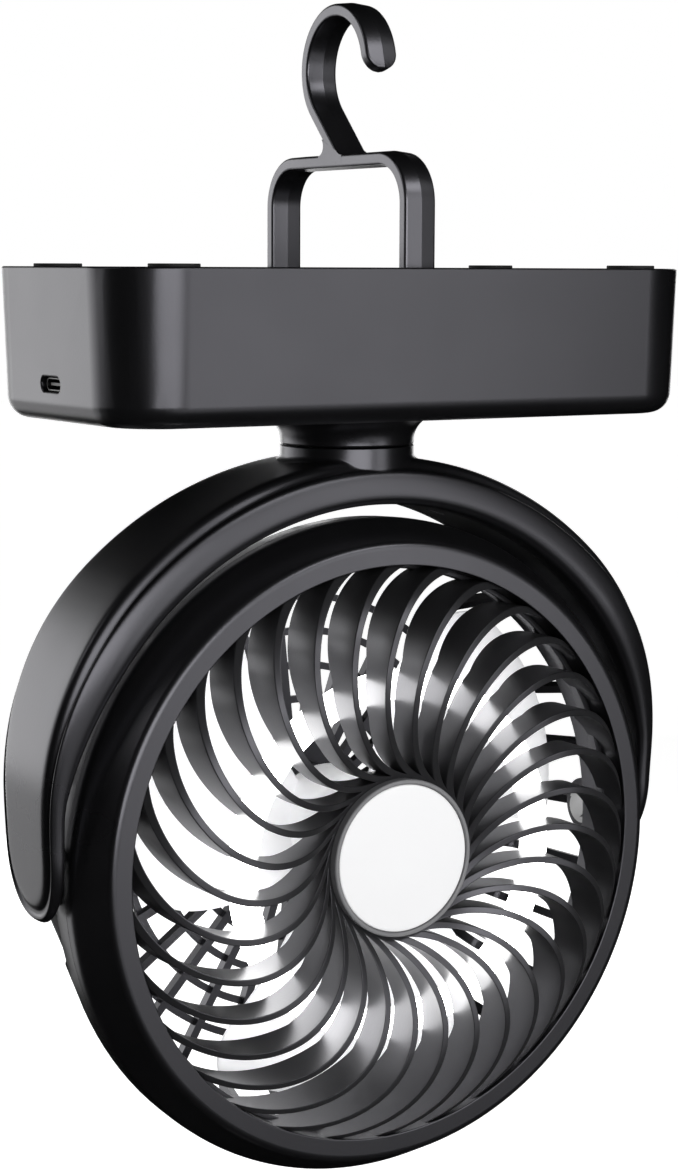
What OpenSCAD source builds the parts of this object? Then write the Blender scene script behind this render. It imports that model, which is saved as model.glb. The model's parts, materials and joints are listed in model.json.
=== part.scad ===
// Portable camping fan with a lamp ring, hanging from its fold-out hook.
// Origin: centre of the hook's throat. +Z is up, -Y is the side the air comes out of.
// The base hangs under the hook with its feet up, the fan head hangs under the base.

/* [Base] */
// Width of the base across its feet side
base_w = 180.5; // [176:1:190]
// Room in the base's depth at each end of the cells
cell_end_room = 10.5; // [9:0.5:13]
// Height of the base
base_h = 40; // [39:1:48]
// Radius of the base's upright corners
base_corner_r = 19.6; // [17:0.5:22]
// Draft of the base's walls, in degrees
base_draft = 2; // [1:0.5:3]
// Radius round the edge next to the neck
base_edge_r = 6; // [4:0.5:8]
// Wall of the base
base_wall = 2.4; // [2:0.2:3]

/* [Feet] */
// Radius of a rubber foot
foot_r = 6.55; // [5.5:0.25:7]
// How far a foot stands proud of the cover
foot_proud = 0.8; // [0.5:0.1:2]
// Distance of the feet from the base's ends
foot_inset_x = 19.25; // [17:0.25:22]
// Distance of the feet from the base's long sides
foot_inset_y = 9.2; // [8.5:0.1:10.5]

/* [Hook] */
// Height of the throat's centre above the feet side
hook_rise = 53; // [50:1:60]
// Inside radius of the hook's throat
throat_r = 13.5; // [11:0.5:14.5]
// Thickness of the hook's strip
strip_t = 4.2; // [3.6:0.2:5]
// Width of the hook's strip
strip_w = 9.5; // [8:0.5:11]
// Width of the hook's frame over its legs
bail_w = 73.5; // [66:1:75]
// Height of the frame's top face above the feet side
bail_rise = 30.6; // [28:1:33]
// Outside radius of the frame's corners
bail_corner_r = 14; // [10:1:18]
// Slope of the stem between the frame and the throat, in degrees
stem_slope = 46; // [40:1:52]
// Length of the straight tip after the throat's arc
tip_len = 5.5; // [5:0.5:10]
// Depth of the fold axis below the feet side
fold_depth = 6; // [6:0.25:7]
// Radius of a hook pin
hook_pin_r = 1.6; // [1.3:0.1:2]

/* [Swivel neck] */
// Radius of the neck at the swivel seam
neck_r = 18.5; // [17:0.5:20]
// Radius of the flare between the base and the neck
neck_flare_r = 7; // [5:0.5:7.5]
// Height of the neck from the base to the seam
neck_h = 8; // [8:0.5:11]
// Outside radius of the hollow swivel post
post_r = 9.5; // [8:0.5:10]
// Bore of the swivel post for the wires
post_bore_r = 6; // [5:0.5:6.5]
// Height of the yoke's crown below the seam at the middle
crown_drop = 2.8; // [2:0.2:4]

/* [Yoke] */
// Room between the head and the inside of the yoke's crown
crown_play = 3.7; // [3:0.1:5]
// Depth of the yoke's crown from its outside to its inside
crown_depth = 13; // [12:0.5:16]
// Room between the head and each arm at the pivots
side_play = 1.5; // [1.1:0.1:2]
// Depth of an arm at its widest point
arm_depth = 5.4; // [5:0.1:7]
// Angle above the pivots at which the crown arc ends, in degrees
crown_angle = 48; // [46:1:52]
// Radius of the slow curve of the arms below their widest point
arm_sweep_r = 250; // [200:10:300]
// Half depth of the hollow inside the crown
yoke_hollow_half_d = 13; // [12:0.25:13.5]
// Half depth of the yoke over its beads
yoke_half_d = 20.2; // [19.8:0.1:21]
// Half depth of the crown's flat band
crown_half_flat = 11; // [9:0.5:12]
// Half depth of the arms where their ends start to taper
arm_half_d = 15.7; // [14:0.1:17]
// Height over which the arms' ends taper
arm_taper = 40; // [34:1:46]
// Wall of the yoke
yoke_wall = 2.5; // [2:0.1:3]
// Length of the arms below the pivots
arm_tail = 12; // [11:0.5:16]

/* [Tilt pivots] */
// Radius of a pivot pin
pivot_r = 3.5; // [3:0.25:4]
// Radius of the head's pivot bosses
pivot_boss_r = 8; // [7:0.5:9]
// Thickness of a pivot washer
pivot_washer_t = 0.6; // [0.4:0.1:0.8]

/* [Head casing] */
// How far the front lip lies inside the ridge
lip_setback = 5.6; // [4.8:0.1:6.4]
// Width of the front lip's face
lip_w = 6.3; // [5.5:0.1:7]
// Distance of the front lip's face from the tilt axis
lip_z = 25.3; // [24.8:0.1:26]
// Largest radius of the head, at the ridge behind the lip
head_r = 91.3; // [90.6:0.1:91.4]
// Distance of the ridge from the tilt axis
ridge_z = 12.2; // [11.5:0.1:13]
// Radius of the rounding at the ridge
ridge_round = 6.4; // [5.5:0.1:7]
// Distance of the seam between bezel and rear shell from the tilt axis
seam_z = 10; // [9:0.25:10.5]
// Distance at which the rear shell starts to taper
taper_z = 4.5; // [3:0.25:5.5]
// Taper of the rear shell, in degrees
taper = 17.5; // [15:0.5:19]
// Distance of the rear shell's back face behind the tilt axis
back_z = 29; // [27:0.5:31]
// Distance of the duct's back edge from the tilt axis
duct_back_z = 5; // [4.5:0.25:6]
// Wall of the casing
head_wall = 2.2; // [1.8:0.1:2.6]
// Radius of the rear shell's rounded shoulder
shoulder_r = 7; // [5:0.5:9]

/* [Front grille] */
// Number of curved fins
fin_count = 30; // [24:3:33]
// Thickness of a fin
fin_t = 1.8; // [1.5:0.1:2.1]
// How far past the duct's wall the circle of a fin's arc reaches
fin_overrun = 2.1; // [1.5:0.1:3]
// Direction of that arc's centre, in degrees
fin_phase = -17.1; // [-20:0.5:-14]
// How far the fins bulge in front of the lip
fin_bulge = 12.2; // [10:0.2:13]
// Radius of the ring at which the fins bulge most
fin_bulge_r = 52; // [50:0.5:54]
// Depth of a fin from front to back
fin_depth = 10.5; // [9.5:0.5:11]

/* [Hub and lamp] */
// Outside radius of the hub
hub_r = 21.7; // [21:0.1:22.2]
// Distance of the hub disc's face from the tilt axis
hub_z = 30.6; // [30:0.2:31.4]
// Width of the rim round the white hub disc
hub_rim_w = 1.4; // [1.2:0.1:2.4]
// Middle radius of the lamp ring
lamp_r = 47; // [46:0.5:48]
// Width of the lamp ring
lamp_w = 8; // [7:0.5:8.5]
// Number of light beads
bead_count = 8; // [6:1:9]

/* [Rear guard] */
// Number of ribs where they reach the side
rib_count = 30; // [24:2:36]
// Width of a rib
rib_w = 2.4; // [2:0.1:2.8]
// Width of a guard ring
guard_ring_w = 2; // [1.6:0.1:2.4]
// Distance between two guard rings
guard_ring_pitch = 10; // [9:0.5:10.5]
// Radius of the motor's seat in the guard
motor_seat_r = 24; // [23:0.5:26]

/* [Motor and impeller] */
// Radius of the motor's can
motor_r = 15.5; // [13:0.5:15.5]
// Length of the motor's can
motor_len = 18; // [15:0.5:19]
// Radius of the motor's shaft
shaft_r = 1.5; // [1:0.25:2]
// Room between the blades' tips and the duct
blade_tip_room = 4.9; // [3:0.1:8]
// Room between the motor's can and the impeller's hub
hub_room = 1.3; // [1:0.1:2]
// Number of blades
blade_count = 3; // [2:1:5]
// Angle that one blade covers, in degrees
blade_sweep = 76; // [40:2:80]
// Height of a blade along the axis
blade_rise = 15; // [12:0.5:16]

/* [Batteries and electronics] */
// Radius of a battery cell
cell_r = 9.2; // [9:0.1:9.3]
// Length of a battery cell
cell_len = 65; // [60:1:66]
// Thickness of a circuit board
board_t = 1.6; // [1.2:0.2:1.8]
// Radius of a push button
button_r = 5.8; // [5:0.2:6.5]
// Travel of a push button
button_travel = 0.6; // [0.4:0.1:0.8]
// Distance of the buttons from the middle
button_x = 68; // [66:0.5:70]

/* [Clearances] */
// Radial play of a running fit
running_fit = 0.05; // [0.02:0.01:0.09]
// Gap between faces that move past each other
moving_gap = 0.3; // [0.25:0.05:0.5]
// Gap between pieces that are assembled and stay put
seat_gap = 0.1; // [0.05:0.05:0.2]

/* [Hidden] */
$fn = 160;
eps = 0.01;
overlap = 0.4;            // how far two fused shapes reach into each other
swallow = 1;            // how far a cutter runs past what it cuts

base_d = cell_len + 2 * cell_end_room;            // depth of the base across its feet side
foot_span_x = base_w - 2 * foot_inset_x;
foot_span_y = base_d - 2 * foot_inset_y;
lip_r = head_r - lip_setback;
duct_r = lip_r - lip_w;                           // the duct that the impeller blows through
yoke_half_gap = head_r + side_play;               // half distance between the arms' inner faces
yoke_half_w = yoke_half_gap + arm_depth;
yoke_inner_r = head_r + crown_play;
yoke_r = yoke_inner_r + crown_depth;

feet_z = -hook_rise;                              // the base's feet side
neck_face_z = feet_z - base_h;                    // the base's neck side
seam_neck_z = neck_face_z - neck_h;               // the swivel seam
collar_top_z = seam_neck_z - moving_gap;
head_cz = seam_neck_z - crown_drop - yoke_r;      // the tilt axis

// ---------- derived sizes shared by several pieces ----------
corner_x = base_w / 2 - base_corner_r;            // centres of the base's corners
corner_y = base_d / 2 - base_corner_r;
floor_in = -base_h + base_wall;                   // the base's inner floor, from the feet side
rim_drop = 0.3;                                   // the cover lies this far below the rim
cover_t = 2.2;
cover_boss_h = 2;                                 // thicker cover under each foot
cover_boss_r = 5;
cover_under = -rim_drop - cover_t;
shell_boss_r = 4.5;
shell_boss_top = cover_under - cover_boss_h - seat_gap;
foot_sunk = 1.2;                                  // how deep a foot sits in the cover
foot_floor = -rim_drop - foot_sunk;
screw_r = 1.5;                                    // shank of the casing screws
screw_head_r = 2.6;
screw_head_h = 1;

bail_half = bail_w / 2;
bail_top = bail_rise - hook_rise;                 // the frame's top face
fold_z = -hook_rise - fold_depth;                 // the hook's fold axis
leg_half = strip_w / 2;
leg_top = fold_z + leg_half + 3;                  // above this the legs are part of the frame's outline
arc_mid_r = throat_r + strip_t / 2;
tip_turn = 165;                                   // where the throat's arc ends in the straight tip
tip_t = strip_t - 0.2;                            // a little thinner, so that arc and tip meet in a clean step

pocket_gap = 0.3;                                 // play round the folded hook
pocket_wall = 1.6;
pocket_floor = -fold_depth - leg_half - 0.55;
pocket_reach = hook_rise + fold_depth + throat_r + strip_t + 3;

post_top = -base_h + 9.5;                         // the swivel post's end, from the feet side
nut_h = 4;
washer_t = 1;
neck_boss_r = 16;
neck_boss_h = 1.6;
washer_z = floor_in + neck_boss_h + moving_gap;     // underside of the swivel washer, from the feet side
nut_r = 14;
flange_t = 2;
flange_r = yoke_hollow_half_d - seat_gap;         // the post's flange just fits in the crown's hollow

side_r = (yoke_half_w - yoke_r * cos(crown_angle)) / (1 - cos(crown_angle));
side_c = (yoke_r - side_r) * [cos(crown_angle), sin(crown_angle)];
liner_t = 2;
liner_angle = 26;                                 // the liner ends this far above the pivots
post_seat = sqrt(pow(yoke_r - yoke_wall, 2) - pow(neck_boss_r, 2));   // flat seat under the crown
liner_screw_angles = [44, 72, 108, 136];

boss_face = yoke_half_gap - pivot_washer_t - moving_gap;    // the head's pivot bosses end here
boss_inner = duct_r + head_wall + 1.7;
pin_blind = 1.4;                                  // wall left outside a pin's blind bore
arm_at_pivot = side_c.x + side_r - arm_sweep_r * (1 - cos(asin(side_c.y / arm_sweep_r)));
clip_t = 0.8;

lip_round = 0.8;
channel_top = lip_z - head_wall;
case_screw_r = 1.3;
case_boss_r = 2.9;
case_boss_at = head_r - head_wall - case_boss_r + 0.8;
case_screw_angles = [42, 138, 222, 318];
case_boss_len = 7;
seam_relief = 0.3;         // the rear bosses stop short of the seam, so that the rims meet first
case_boss_reach = 5;

dome_top = lip_z + fin_bulge;
hoop_t = 1.7;
fin_arc_r = (duct_r + fin_overrun - hub_r) / 2;   // a fin's arc leaves the hub and meets the duct at a tangent
fin_arc_offset = hub_r + fin_arc_r;
hub_disc_r = hub_r - hub_rim_w;
hub_cup_z = hub_z - 3.6;
collar_back = 20;
lamp_top = dome_top - fin_depth - seat_gap;       // front of the lamp ring's cover
lamp_cover_t = 0.8;
lamp_board_t = 1.2;
lamp_depth = 3;

guard_t = 3;
guard_face = -back_z + guard_t;
motor_back = guard_face + seat_gap - 0.6;
motor_front = motor_back + motor_len;
hub_front = motor_front + 14;
hub_back = motor_front - 3;
hub_wall = 2.2;
impeller_hub_r = motor_r + hub_room + hub_wall;
impeller_r = duct_r - blade_tip_room;
blade_z = motor_front + 0.5;
guard_ring_reach = impeller_r - 2.5;              // the rings end a little inside the blades' tips

board_z = -base_h + 6.7;                          // underside of the boards, from the feet side
board_x = 58;                                     // inner edge of the boards
board_len = 27.5;
board_half_y = 27;
usb_w = 9;
usb_h = 3.3;
usb_len = 7.5;
usb_window = [11.2, 3.9];
button_y = -14;
button_flange_r = button_r + 1.4;
button_flange_h = 0.8;
button_proud = 0.6;
button_stem_r = 2;
switch_h = 2.2;
cell_xs = [26, 45];
cell_z = -base_h + 17;

charcoal = [0.075, 0.075, 0.08];
dark_grey = [0.13, 0.13, 0.14];
rubber_black = [0.05, 0.05, 0.055];
steel = [0.62, 0.63, 0.65];
blade_white = [0.9, 0.92, 0.93];

// ---------- shared shapes ----------

module disc(r, z0, z1) translate([0, 0, z0]) cylinder(h = z1 - z0, r = r);

module tube(r_out, r_in, z0, z1) difference() {
    disc(r_out, z0, z1);
    disc(r_in, z0 - swallow, z1 + swallow);
}

// A box given by its low and high corners
module span(low, high) translate(low) cube(high - low);

module on_feet_side() translate([0, 0, feet_z]) children();

// The head's own frame: its z runs forward along the fan's axis, its y runs up
module in_head() translate([0, 0, head_cz]) rotate([90, 0, 0]) children();

// A flat wedge between two angles less than 180 degrees apart
module wedge(from, to, reach = 2 * yoke_r) {
    mid = (from + to) / 2;
    polygon([[0, 0], reach * [cos(from), sin(from)], 1.5 * reach * [cos(mid), sin(mid)],
             reach * [cos(to), sin(to)]]);
}

module rounded_rect(w, d, r) {
    square([w - 2 * r, d], center = true);
    square([w, d - 2 * r], center = true);
    for (x = [-1, 1], y = [-1, 1]) translate([x * (w / 2 - r), y * (d / 2 - r)]) circle(r);
}

// Rounds the inner corner where two straight edges meet
module corner_fillet(corner, from, to, r) {
    half = (to - from) / 2;
    reach = r / tan(half);
    centre = corner + r / sin(half) * [cos(from + half), sin(from + half)];
    difference() {
        polygon([corner, corner + reach * [cos(from), sin(from)], centre,
                 corner + reach * [cos(to), sin(to)]]);
        translate(centre) circle(r);
    }
}

// ---------- base ----------

// Half section of the base's wall round a corner, drawn in from the outside by inset
module wall_profile(inset, top) {
    r = base_corner_r - inset;
    lean = tan(base_draft);
    bottom = -base_h + inset;
    edge = max(base_edge_r - inset, 1);
    c = [r + (bottom + edge - edge * sin(base_draft)) * lean - edge * cos(base_draft), bottom + edge];
    polygon([[0, top], [r + top * lean, top], c + edge * [cos(base_draft), -sin(base_draft)], c,
             [c.x, bottom], [0, bottom]]);
    translate(c) circle(edge);
}

// The section right across the base, between corners that lie half apart
module cross_section(half, inset, top) {
    for (side = [0, 1]) mirror([side, 0]) translate([half, 0]) wall_profile(inset, top);
    translate([-half, -base_h + inset]) square([2 * half, base_h - inset + top]);
}

module drafted_block(inset, top) {
    for (x = [0, 1], y = [0, 1]) mirror([x, 0, 0]) mirror([0, y, 0])
        translate([corner_x, corner_y, 0]) rotate_extrude(angle = 90) wall_profile(inset, top);
    rotate([90, 0, 0]) linear_extrude(2 * corner_y, center = true)
        cross_section(corner_x, inset, top);
    rotate([90, 0, 90]) linear_extrude(2 * corner_x, center = true)
        cross_section(corner_y, inset, top);
}

// The flare that leads from the base into its neck
module neck_flare() rotate_extrude() difference() {
    translate([0, -base_h - neck_h]) square([neck_r + neck_flare_r, neck_h + base_wall / 2]);
    translate([neck_r + neck_flare_r, -base_h - neck_flare_r]) circle(neck_flare_r);
    translate([neck_r, -base_h - neck_h - swallow])
        square([neck_flare_r + swallow, neck_h - neck_flare_r + swallow]);
}

module at_feet() for (x = [-1, 1], y = [-1, 1])
    translate([x * foot_span_x / 2, y * foot_span_y / 2, 0]) children();

module at_buttons() for (side = [-1, 1]) translate([side * button_x, button_y, 0]) children();

module board_posts(r, z0, z1) for (side = [-1, 1], x = [board_x + 3, board_x + 23], y = [-1, 1])
    translate([side * x, y * (board_half_y - 3), 0]) disc(r, z0, z1);

module base_shell() color(charcoal) on_feet_side() difference() {
    union() {
        difference() {
            drafted_block(0, 0);
            drafted_block(base_wall, swallow);
        }
        neck_flare();
        disc(neck_boss_r, floor_in - base_wall / 2, floor_in + neck_boss_h);
        intersection() {
            at_feet() disc(shell_boss_r, floor_in - base_wall / 2, shell_boss_top);
            drafted_block(base_wall / 2, 0);
        }
        board_posts(2, floor_in - base_wall / 2, board_z);
    }
    disc(post_r + running_fit, -base_h - neck_h - swallow, 0);
    at_feet() disc(screw_r + seat_gap, shell_boss_top - 14, shell_boss_top + swallow);
    at_buttons() disc(button_r + moving_gap, -base_h - swallow, floor_in + swallow);
    // charging socket
    translate([-base_w / 2 - swallow, 0, board_z + board_t + usb_h / 2]) rotate([90, 0, 90])
        linear_extrude(base_wall + 2 * swallow + 2)
            rounded_rect(usb_window.x, usb_window.y, usb_window.y / 2 - eps);
    // battery indicator
    translate([-button_x, 6, -base_h - swallow]) linear_extrude(base_wall + 2 * swallow)
        rounded_rect(14, 2.2, 1.05);
}

// The space that the folded hook lies in
module hook_pocket(grow, top) {
    wide = bail_half + pocket_gap + grow;
    low = pocket_floor - grow;
    bail_reach = bail_rise + fold_depth + 1.4 + grow;
    difference() {
        span([-leg_half - 0.85 - grow, -wide, low], [bail_reach, wide, top]);
        span([-leg_half - 2, -bail_half + strip_t + pocket_gap + grow, low - swallow],
             [leg_half + 0.85 - grow, bail_half - strip_t - pocket_gap - grow, top + swallow]);
    }
    span([bail_reach - 2 * grow - eps, -throat_r - strip_t - 6.3 - grow, low],
         [pocket_reach + grow, throat_r + strip_t + 4.3 + grow, top]);
}

module base_cover() color(dark_grey) on_feet_side() difference() {
    union() {
        translate([0, 0, cover_under]) linear_extrude(cover_t)
            rounded_rect(base_w - 2 * (base_wall + 0.25), base_d - 2 * (base_wall + 0.25),
                         base_corner_r - base_wall - 0.25);
        hook_pocket(pocket_wall, cover_under + eps);
        at_feet() disc(cover_boss_r, cover_under - cover_boss_h, cover_under);
    }
    hook_pocket(0, swallow);
    at_feet() {
        disc(foot_r + seat_gap, foot_floor, swallow);
        disc(screw_head_r + 0.2, foot_floor - screw_head_h - 0.2, 0);
        disc(screw_r + 0.1, cover_under - cover_boss_h - swallow, 0);
    }
    hook_pin_bores();
}

module hook_pin_bores() translate([0, 0, -fold_depth]) for (side = [-1, 1])
    rotate([side * 90, 0, 0]) disc(hook_pin_r, bail_half - strip_t - pocket_gap - pocket_wall - swallow,
                                   bail_half + pocket_gap + pocket_wall + swallow);

module feet() color(rubber_black) on_feet_side() at_feet() rotate_extrude() difference() {
    translate([0, foot_floor]) square([foot_r, foot_proud - foot_floor]);
    translate([foot_r, foot_proud]) rotate(45) square([3, 1], center = true);
}

module cover_screws() color(steel) on_feet_side() at_feet() {
    difference() {
        disc(screw_head_r, foot_floor - screw_head_h - 0.2, foot_floor - 0.2);
        translate([0, 0, foot_floor - 0.8]) for (turn = [0, 90]) rotate(turn)
            translate([-1.6, -0.3, 0]) cube([3.2, 0.6, 1]);
    }
    disc(screw_r, foot_floor - screw_head_h - 0.2 - 11, foot_floor - screw_head_h - 0.1);
}

// ---------- hook ----------

// The hook's outline, seen along X: across is Y, up is Z
module hook_outline() {
    stem_foot = bail_top - strip_t / 2;
    turn_at = -(90 - stem_slope);
    stem_start = arc_mid_r * [cos(turn_at), sin(turn_at)];
    stem_len = (stem_start.y - stem_foot) / sin(stem_slope);
    stem_end_y = stem_start.x - stem_len * cos(stem_slope);
    // frame
    difference() {
        union() {
            translate([-bail_half, leg_top]) square([bail_w, bail_top - leg_top - bail_corner_r]);
            translate([-bail_half + bail_corner_r, leg_top])
                square([bail_w - 2 * bail_corner_r, bail_top - leg_top]);
            for (side = [-1, 1])
                translate([side * (bail_half - bail_corner_r), bail_top - bail_corner_r]) circle(bail_corner_r);
        }
        translate([-bail_half + strip_t, fold_z - swallow])
            square([bail_w - 2 * strip_t, bail_top - fold_z - bail_corner_r + swallow]);
        translate([-bail_half + bail_corner_r, fold_z - swallow])
            square([bail_w - 2 * bail_corner_r, bail_top - fold_z - strip_t + swallow]);
        for (side = [-1, 1]) translate([side * (bail_half - bail_corner_r), bail_top - bail_corner_r])
            circle(bail_corner_r - strip_t);
    }
    // stem
    translate(stem_start) rotate(180 + stem_slope) translate([-overlap, -strip_t / 2])
        square([stem_len + overlap, strip_t]);
    half_foot = strip_t / 2 / sin(stem_slope);
    foot_x = stem_end_y + strip_t / 2 / tan(stem_slope);
    corner_fillet([foot_x + half_foot, bail_top], 0, stem_slope, 2.2);
    corner_fillet([foot_x - half_foot, bail_top], stem_slope, 180, 3.2);
    // throat
    difference() {
        intersection() {
            circle(throat_r + strip_t);
            union() {
                wedge(turn_at, 60);
                wedge(59, tip_turn);
            }
        }
        circle(throat_r);
    }
}

// The straight tip ends in a tongue that is rounded across the strip's width
module hook_tip() {
    start = arc_mid_r * [cos(tip_turn), sin(tip_turn)];
    translate([0, start.x, start.y]) rotate([tip_turn - 90, 0, 0])
        linear_extrude(tip_t, center = true) {
            translate([-leg_half, -tip_len + leg_half]) square([strip_w, tip_len - leg_half + overlap]);
            translate([0, -tip_len + leg_half]) circle(leg_half);
        }
}

// The rounded end of a leg, seen from its side, with the fold axis at its origin
module leg_end() {
    circle(leg_half);
    translate([-leg_half, 0]) square([strip_w, leg_top - fold_z + overlap]);
}

module hook() color(dark_grey) difference() {
    union() {
        rotate([90, 0, 90]) linear_extrude(strip_w, center = true) hook_outline();
        hook_tip();
        for (side = [-1, 1]) translate([0, side * (bail_half - strip_t / 2), fold_z])
            rotate([90, 0, 0]) linear_extrude(strip_t, center = true) leg_end();
    }
    for (side = [-1, 1]) translate([0, side * (bail_half - strip_t / 2), fold_z])
        rotate([90, 0, 0]) cylinder(h = strip_t + 2, r = hook_pin_r + running_fit, center = true);
}

module hook_pins() color(steel) on_feet_side() translate([0, 0, -fold_depth]) for (side = [-1, 1])
    rotate([side * 90, 0, 0]) disc(hook_pin_r, bail_half - strip_t - pocket_gap - pocket_wall,
                                   bail_half + pocket_gap + pocket_wall);

// ---------- inside the base ----------

module at_cells() for (side = [-1, 1], x = cell_xs) translate([side * x, 0, cell_z]) children();

module battery_cells() color([0.12, 0.35, 0.55]) on_feet_side() at_cells() rotate([90, 0, 0]) {
    cylinder(h = cell_len, r = cell_r, center = true);
    disc(cell_r / 3, cell_len / 2, cell_len / 2 + 1);
}

module battery_tray() color(rubber_black) on_feet_side() difference() {
    for (side = [0, 1]) mirror([side, 0, 0]) {
        low_x = cell_xs[0] - cell_r - 0.8;
        high_x = cell_xs[1] + cell_r + 0.8;
        span([low_x, -cell_len / 2, cell_z - cell_r - 1.4], [high_x, cell_len / 2, cell_z - cell_r + 4]);
        for (end = [-1, 1]) translate([0, end * (cell_len / 2 + 1.9), 0])
            span([low_x, -0.9, floor_in], [high_x, 0.9, cell_z + 4]);
        for (y = [-cell_len / 4, cell_len / 4]) translate([0, y, 0])
            span([low_x, -1, floor_in], [high_x, 1, cell_z - cell_r]);
    }
    at_cells() rotate([90, 0, 0]) cylinder(h = cell_len + 2, r = cell_r + seat_gap, center = true);
}

module board(half_y) difference() {
    span([board_x, -half_y, board_z], [board_x + board_len, half_y, board_z + board_t]);
    for (x = [board_x + 3, board_x + 23], y = [-1, 1])
        translate([x, y * (board_half_y - 3), 0]) disc(1.1, board_z - 1, board_z + board_t + 1);
}

module main_board() color([0.05, 0.3, 0.18]) on_feet_side() {
    mirror([1, 0, 0]) board(board_half_y);
    translate([0, 0, board_z + board_t]) {
        span([-board_x - 16, 8, 0], [-board_x - 9, 15, 1.2]);
        span([-board_x - 10, -12, 0], [-board_x - 4, -6, 2.4]);
    }
}

module switch_board() color([0.05, 0.3, 0.18]) on_feet_side() {
    board(board_half_y);
    span([board_x + 6, 4, board_z + board_t], [board_x + 12, 10, board_z + board_t + 1.2]);
}

module tact_switches() color(steel) on_feet_side() at_buttons() {
    span([-3, -3, board_z - switch_h + 0.6], [3, 3, board_z]);
    disc(1.7, board_z - switch_h, board_z - switch_h + 0.7);
}

module usb_socket() color(steel) on_feet_side() {
    front = -board_x - board_len - 2.6;
    translate([front, 0, board_z + board_t + usb_h / 2]) rotate([90, 0, 90]) {
        difference() {
            linear_extrude(usb_len) rounded_rect(usb_w, usb_h, usb_h / 2 - eps);
            translate([0, 0, -swallow]) linear_extrude(usb_len)
                rounded_rect(usb_w - 0.6, usb_h - 0.6, usb_h / 2 - 0.31);
        }
        translate([-3.3, -0.35, 0.6]) cube([6.6, 0.7, usb_len - 1]);
    }
}

module indicator_lens() color([0.75, 0.8, 0.85]) on_feet_side() translate([-button_x, 6, 0]) {
    translate([0, 0, -base_h + 0.1]) linear_extrude(base_wall) rounded_rect(13.8, 2, 0.95);
    translate([0, 0, floor_in]) linear_extrude(0.8) rounded_rect(16, 4, 1.5);
}

module button(side) on_feet_side() translate([side * button_x, button_y, 0]) {
    flange_z = floor_in + moving_gap;
    rotate_extrude() difference() {
        translate([0, -base_h - button_proud]) square([button_r, flange_z + base_h + button_proud + eps]);
        translate([button_r, -base_h - button_proud]) rotate(45) square([1.2, 0.8], center = true);
    }
    disc(button_flange_r, flange_z, flange_z + button_flange_h);
    disc(button_stem_r, flange_z, board_z - switch_h - button_travel - 0.1);
}

module fan_button() color(dark_grey) button(-1);

module light_button() color(dark_grey) button(1);

// ---------- swivel and yoke ----------

// A point on the yoke's outer band: p is the direction of its normal, 90 at the crown
function band_point(p) =
    p >= crown_angle ? yoke_r * [cos(p), sin(p)]
    : p >= 0 ? side_c + side_r * [cos(p), sin(p)]
    : [yoke_half_w - arm_sweep_r, side_c.y] + arm_sweep_r * [cos(p), sin(p)];

// Distance from the band to the yoke's inside face, along the normal
function band_depth(p) =
    let (at = band_point(p), along = at * [cos(p), sin(p)],
         to_circle = along - sqrt(max(pow(along, 2) - at * at + pow(yoke_inner_r, 2), 0)))
    at.y < 0 ? (at.x - yoke_half_gap) / cos(p)
    : p > 80 ? to_circle
    : max(to_circle, (at.x - yoke_half_gap) / cos(p));

// The normal's direction at a height above the pivots, below the crown
function normal_at(z) = asin((z - side_c.y) / (z < side_c.y ? arm_sweep_r : side_r));

taper_end = normal_at(arm_taper - arm_tail);
tip_steps = 7;
side_steps = 22;
// Each station is the normal's direction and the half depth there: first the tapered end, then the rest
stations = concat(
    [for (i = [0 : tip_steps - 1]) let (turn = 9 + i * 81 / tip_steps)
        [normal_at(arm_taper * (1 - cos(turn)) - arm_tail), arm_half_d * sin(turn)]],
    [for (i = [0 : side_steps]) let (p = taper_end + (90 - taper_end) * i / side_steps)
        [p, arm_half_d + (yoke_half_d - arm_half_d) * (1 - pow(1 - min(p / 60, 1), 2))]]);

// Half of the section at a station: the band, its shoulder, a groove and a bead that ends at the inside
function half_section(p, half_d) =
    let (depth = band_depth(p), rise = pow(sin(max(p, 0)), 2),
         groove = depth * (0.14 + 0.26 * rise), nose = depth * (0.44 + 0.2 * rise),
         flat = half_d * crown_half_flat / yoke_half_d, root = 0.89 * half_d, edge = 0.79 * half_d,
         start = -asin((nose - groove) / (depth - nose)))
    concat(
        [for (a = [0 : 15 : 75]) [groove * (1 - cos(a)) / (1 - cos(75)),
                                  flat + (root - flat) * sin(a) / sin(75)]],
        [for (i = [0 : 6]) let (a = start + (90 - start) * i / 6)
            [nose + (depth - nose) * sin(a), edge + (half_d - edge) * cos(a)]]);

function mirrored_ring(half) = concat(half, [for (i = [len(half) - 1 : -1 : 0]) [half[i].x, -half[i].y]]);

function station_ring(p, half_d, side) = [for (q = mirrored_ring(half_section(p, half_d)))
    let (at = band_point(p) - q.x * [cos(p), sin(p)]) [side * at.x, at.y, q.y]];

// The yoke as a solid bar, lofted through its stations from one arm's end to the other's
module yoke_bar() {
    last = len(stations) - 1;
    rings = concat([for (i = [0 : last]) station_ring(stations[i][0], stations[i][1], 1)],
                   [for (i = [last - 1 : -1 : 0]) station_ring(stations[i][0], stations[i][1], -1)]);
    n = len(rings[0]);
    m = len(rings);
    polyhedron([for (ring = rings) each ring],
        concat([[for (j = [n - 1 : -1 : 0]) j]],
               [for (i = [0 : m - 2], j = [0 : n - 1])
                   [i * n + j, i * n + (j + 1) % n, (i + 1) * n + (j + 1) % n, (i + 1) * n + j]],
               [[for (j = [0 : n - 1]) (m - 1) * n + j]]),
        convexity = 4);
}

// The hollow between the crown's wall and the liner's mouth
module yoke_hollow() intersection() {
    union() {
        intersection() {
            circle(yoke_r - yoke_wall);
            wedge(crown_angle, 180 - crown_angle);
        }
        for (side = [0, 1]) mirror([side, 0]) translate(side_c) circle(side_r - yoke_wall);
    }
    difference() {
        union() {
            wedge(liner_angle, 91);
            wedge(89, 180 - liner_angle);
        }
        circle(yoke_inner_r - swallow);
    }
}

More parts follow.
